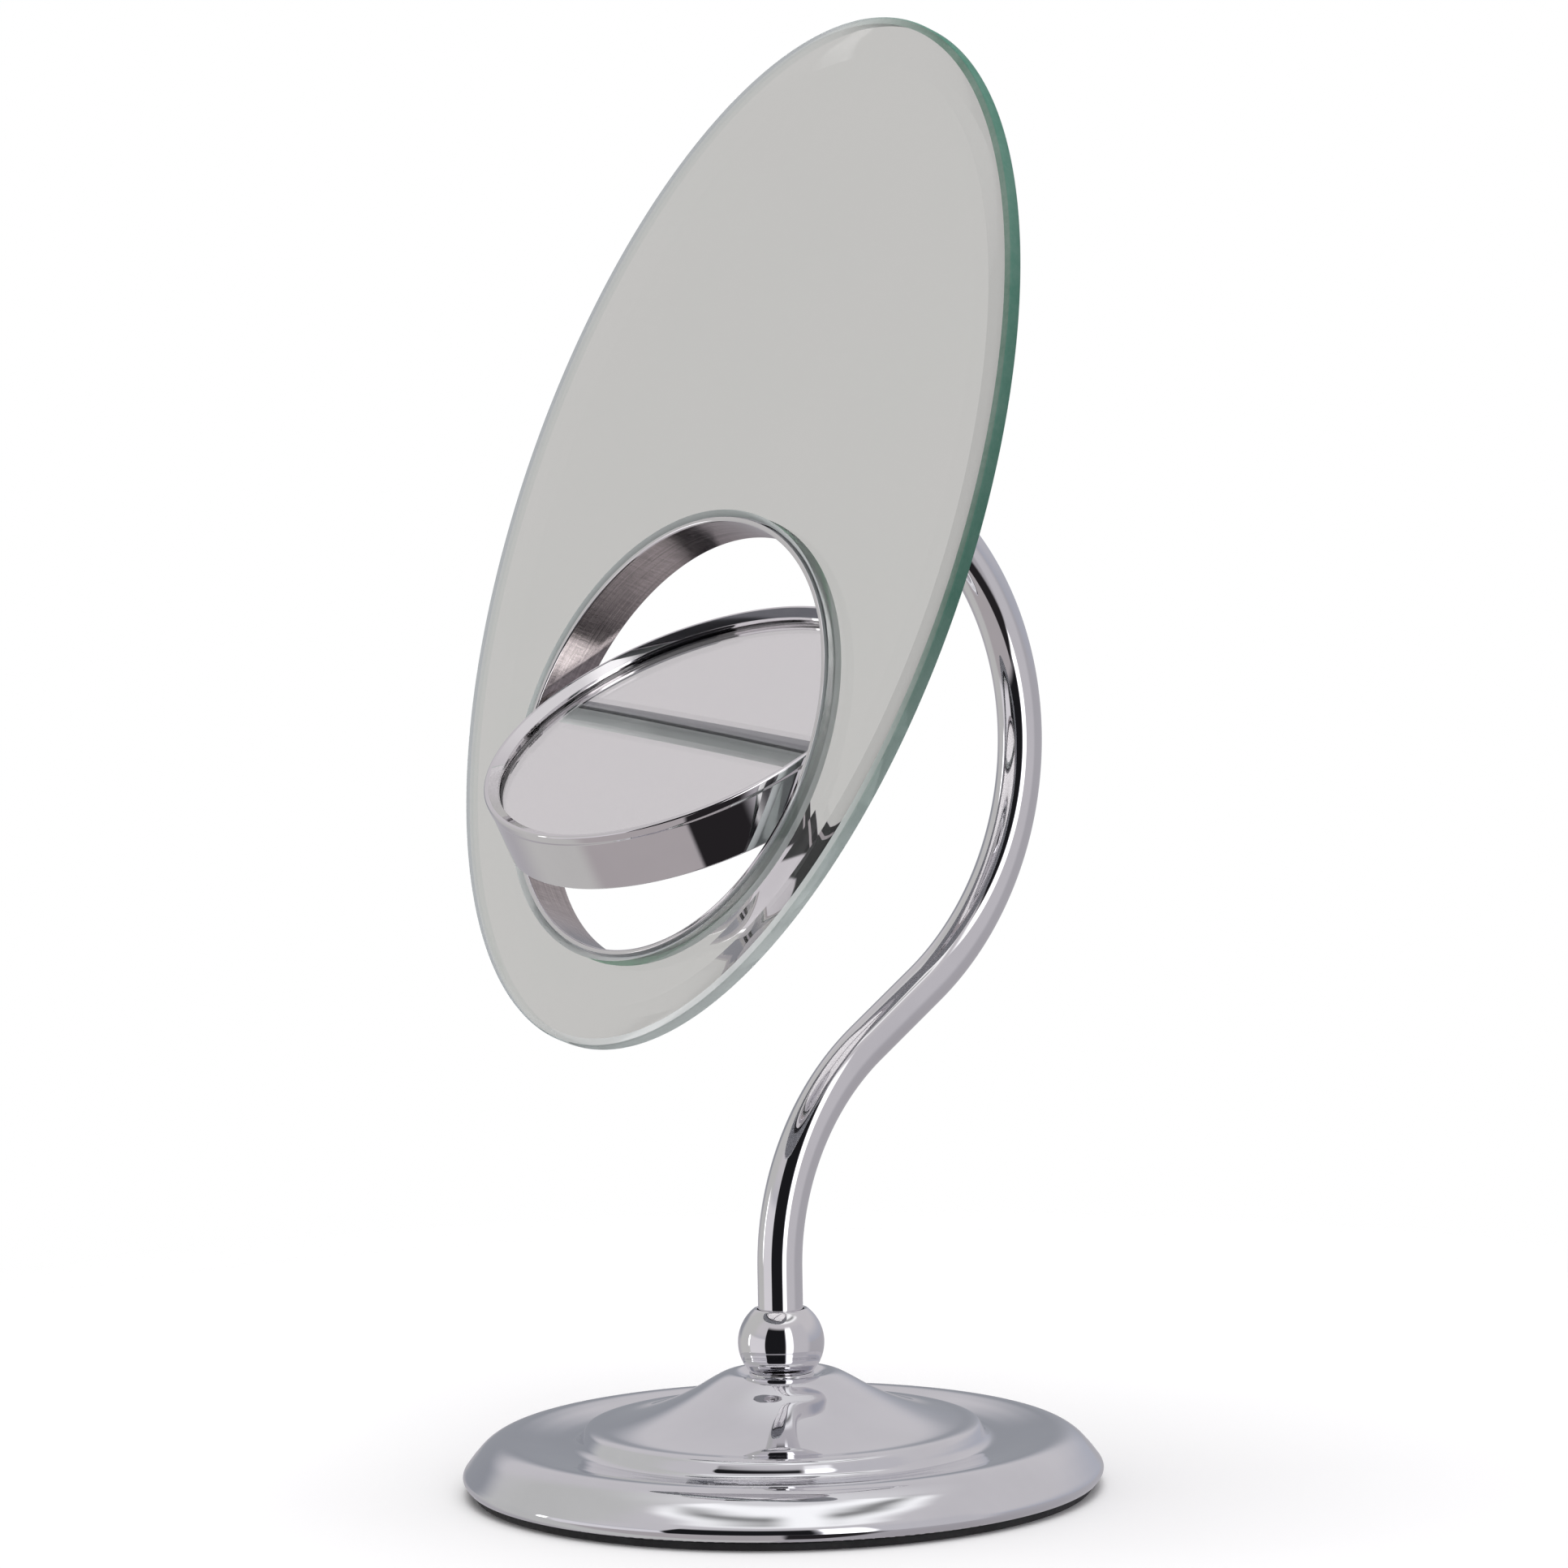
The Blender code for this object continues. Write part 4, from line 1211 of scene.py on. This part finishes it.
def studio():
    """A pale light tent: soft boxes, an open dark side towards the photographer, white beyond.

    Directions are in degrees: across counts from the camera round to the right, and upright
    counts up from level.
    """
    world = bpy.data.worlds.new("studio")
    bpy.context.scene.world = world
    t = Tree(world)
    way = t.node("ShaderNodeTexCoord").outputs["Generated"]
    ahead = towards(CAMERA_AZIMUTH, 0.0)
    right = Vector((math.cos(CAMERA_AZIMUTH), math.sin(CAMERA_AZIMUTH), 0.0))
    forward = t.dot(way, tuple(ahead))
    aside = t.dot(way, tuple(right))
    height = t.dot(way, (0.0, 0.0, 1.0))
    turn = t.math("DEGREES", t.math("ARCTAN2", aside, forward))
    rise = t.math("DEGREES", t.math("ARCSINE", height))

    def window(value, low, high, soft_low, soft_high):
        start = t.remap(value, low - soft_low, low + soft_low, 0.0, 1.0, True)
        end = t.remap(value, high - soft_high, high + soft_high, 1.0, 0.0, True)
        return t.math("MULTIPLY", start, end)

    def card(colour, look, across, upright, soft):
        """Lay a card over colour. The edges in soft are left, right, bottom and top."""
        mask = t.math(
            "MULTIPLY",
            window(turn, across[0], across[1], soft[0], soft[1]),
            window(rise, upright[0], upright[1], soft[2], soft[3]),
        )
        return t.mix(mask, colour, look)

    low = t.mix(t.remap(rise, -60.0, -2.0, 0.0, 1.0, True), (0.40, 0.38, 0.40), (0.46, 0.45, 0.48))
    wall = t.mix(t.remap(rise, 0.0, 28.0, 0.0, 1.0, True), (0.46, 0.47, 0.53), (0.64, 0.62, 0.64))
    shade = t.mix(t.remap(rise, -3.0, 3.0, 0.0, 1.0, True), low, wall)
    left = window(turn, -140.0, -80.0, 14.0, 12.0)
    shade = t.mix(t.math("MULTIPLY", left, 0.9), shade, (0.585, 0.585, 0.57))
    # A dark patch straight behind, in two halves that meet at 180 degrees.
    for across in ((171.0, 220.0), (-220.0, -138.0)):
        shade = card(shade, (0.32, 0.33, 0.36), across, (-3.0, 18.0), (9.0, 9.0, 4.0, 6.0))
    # The pale roof.
    shade = t.mix(t.remap(rise, 50.0, 80.0, 0.0, 1.0, True), shade, (0.80, 0.79, 0.80))
    # Screens to the left and to the right, and the bright gap beside the right one.
    shade = card(shade, (0.78, 0.76, 0.79), (-92.0, -42.0), (-22.0, 13.0), (3.0, 3.0, 3.0, 3.0))
    shade = card(shade, (0.59, 0.575, 0.605), (24.0, 80.0), (-24.0, 46.0), (2.0, 9.0, 4.0, 8.0))
    shade = card(shade, (2.2, 2.2, 2.2), (14.0, 32.0), (-24.0, 42.0), (1.5, 3.0, 2.0, 8.0))
    # Grey below on the left, the dark opening round the camera, and the dark floor under it.
    shade = card(shade, (0.45, 0.42, 0.43), (-90.0, 0.0), (-90.0, -24.0), (8.0, 4.0, 1.0, 3.0))
    shade = card(shade, (0.012, 0.012, 0.014), (-44.0, 12.0), (-24.0, 42.0), (1.2, 2.5, 3.0, 5.0))
    shade = card(shade, (0.02, 0.018, 0.02), (0.0, 38.0), (-80.0, -24.0), (2.0, 5.0, 6.0, 2.0))
    # A narrow strip light on the left.
    shade = card(shade, (2.4, 2.4, 2.4), (-98.0, -93.0), (-6.0, 12.0), (0.8, 0.8, 3.0, 3.0))
    # The overhead soft box, with two dark bars in front of it.
    shade = card(shade, (1.2, 1.2, 1.2), (-75.0, 95.0), (57.0, 76.0), (8.0, 8.0, 3.0, 4.0))
    shade = card(shade, (0.12, 0.12, 0.12), (-66.0, -2.0), (61.0, 66.0), (22.0, 10.0, 4.0, 4.0))
    shade = card(shade, (0.12, 0.12, 0.12), (26.0, 92.0), (62.0, 67.0), (10.0, 22.0, 4.0, 4.0))
    seen = t.node("ShaderNodeLightPath").outputs["Is Camera Ray"]
    shade = t.mix(seen, shade, (1.0, 1.0, 1.0))
    background = t.node("ShaderNodeBackground", {"Color": shade, "Strength": 1.0})
    out = t.node("ShaderNodeOutputWorld")
    t.nt.links.new(background.outputs[0], out.inputs["Surface"])


def floor():
    """A pale table top that fades into the white beyond it."""
    mesh = bpy.data.meshes.new("floor")
    middle = towards(CAMERA_AZIMUTH, 0.0) * FLOOR_BEHIND
    half = FLOOR_HALF
    corners = [(-half, -half), (half, -half), (half, half), (-half, half)]
    mesh.from_pydata([(x, y, 0.0) for x, y in corners], [], [(0, 1, 2, 3)])
    obj = bpy.data.objects.new("floor", mesh)
    obj.location = (middle.x, middle.y, -0.1 * MM)
    bpy.context.scene.collection.objects.link(obj)
    mat, t = new_material("floor_white")
    place = t.object_space()
    reach = t.node("ShaderNodeVectorMath", {0: place}, operation="LENGTH").outputs["Value"]
    fade = t.remap(reach, FLOOR_FADE[0], FLOOR_FADE[1], 0.0, 1.0, True)
    paper = t.noise(place, 900.0, 3.0)
    colour = t.mix(paper, (0.90, 0.90, 0.90), (0.92, 0.92, 0.92))
    diffuse = t.node("ShaderNodeBsdfDiffuse", {"Color": colour})
    clear = t.node("ShaderNodeBsdfTransparent")
    both = t.node("ShaderNodeMixShader", {0: fade})
    t.nt.links.new(diffuse.outputs[0], both.inputs[1])
    t.nt.links.new(clear.outputs[0], both.inputs[2])
    out = t.node("ShaderNodeOutputMaterial")
    t.nt.links.new(both.outputs[0], out.inputs["Surface"])
    mesh.materials.append(mat)
    obj.visible_glossy = False


def top_light():
    """A wide soft light over the table that metal does not mirror."""
    data = bpy.data.lights.new("top_light", "AREA")
    data.shape = "SQUARE"
    data.size = LAMP_SIZE
    data.energy = LAMP_POWER
    obj = bpy.data.objects.new("top_light", data)
    obj.location = (0.0, 0.0, LAMP_HEIGHT)
    obj.visible_glossy = False
    obj.visible_transmission = False
    obj.visible_camera = False
    bpy.context.scene.collection.objects.link(obj)


camera()
studio()
floor()
top_light()
bpy.context.scene.view_settings.view_transform = "Standard"
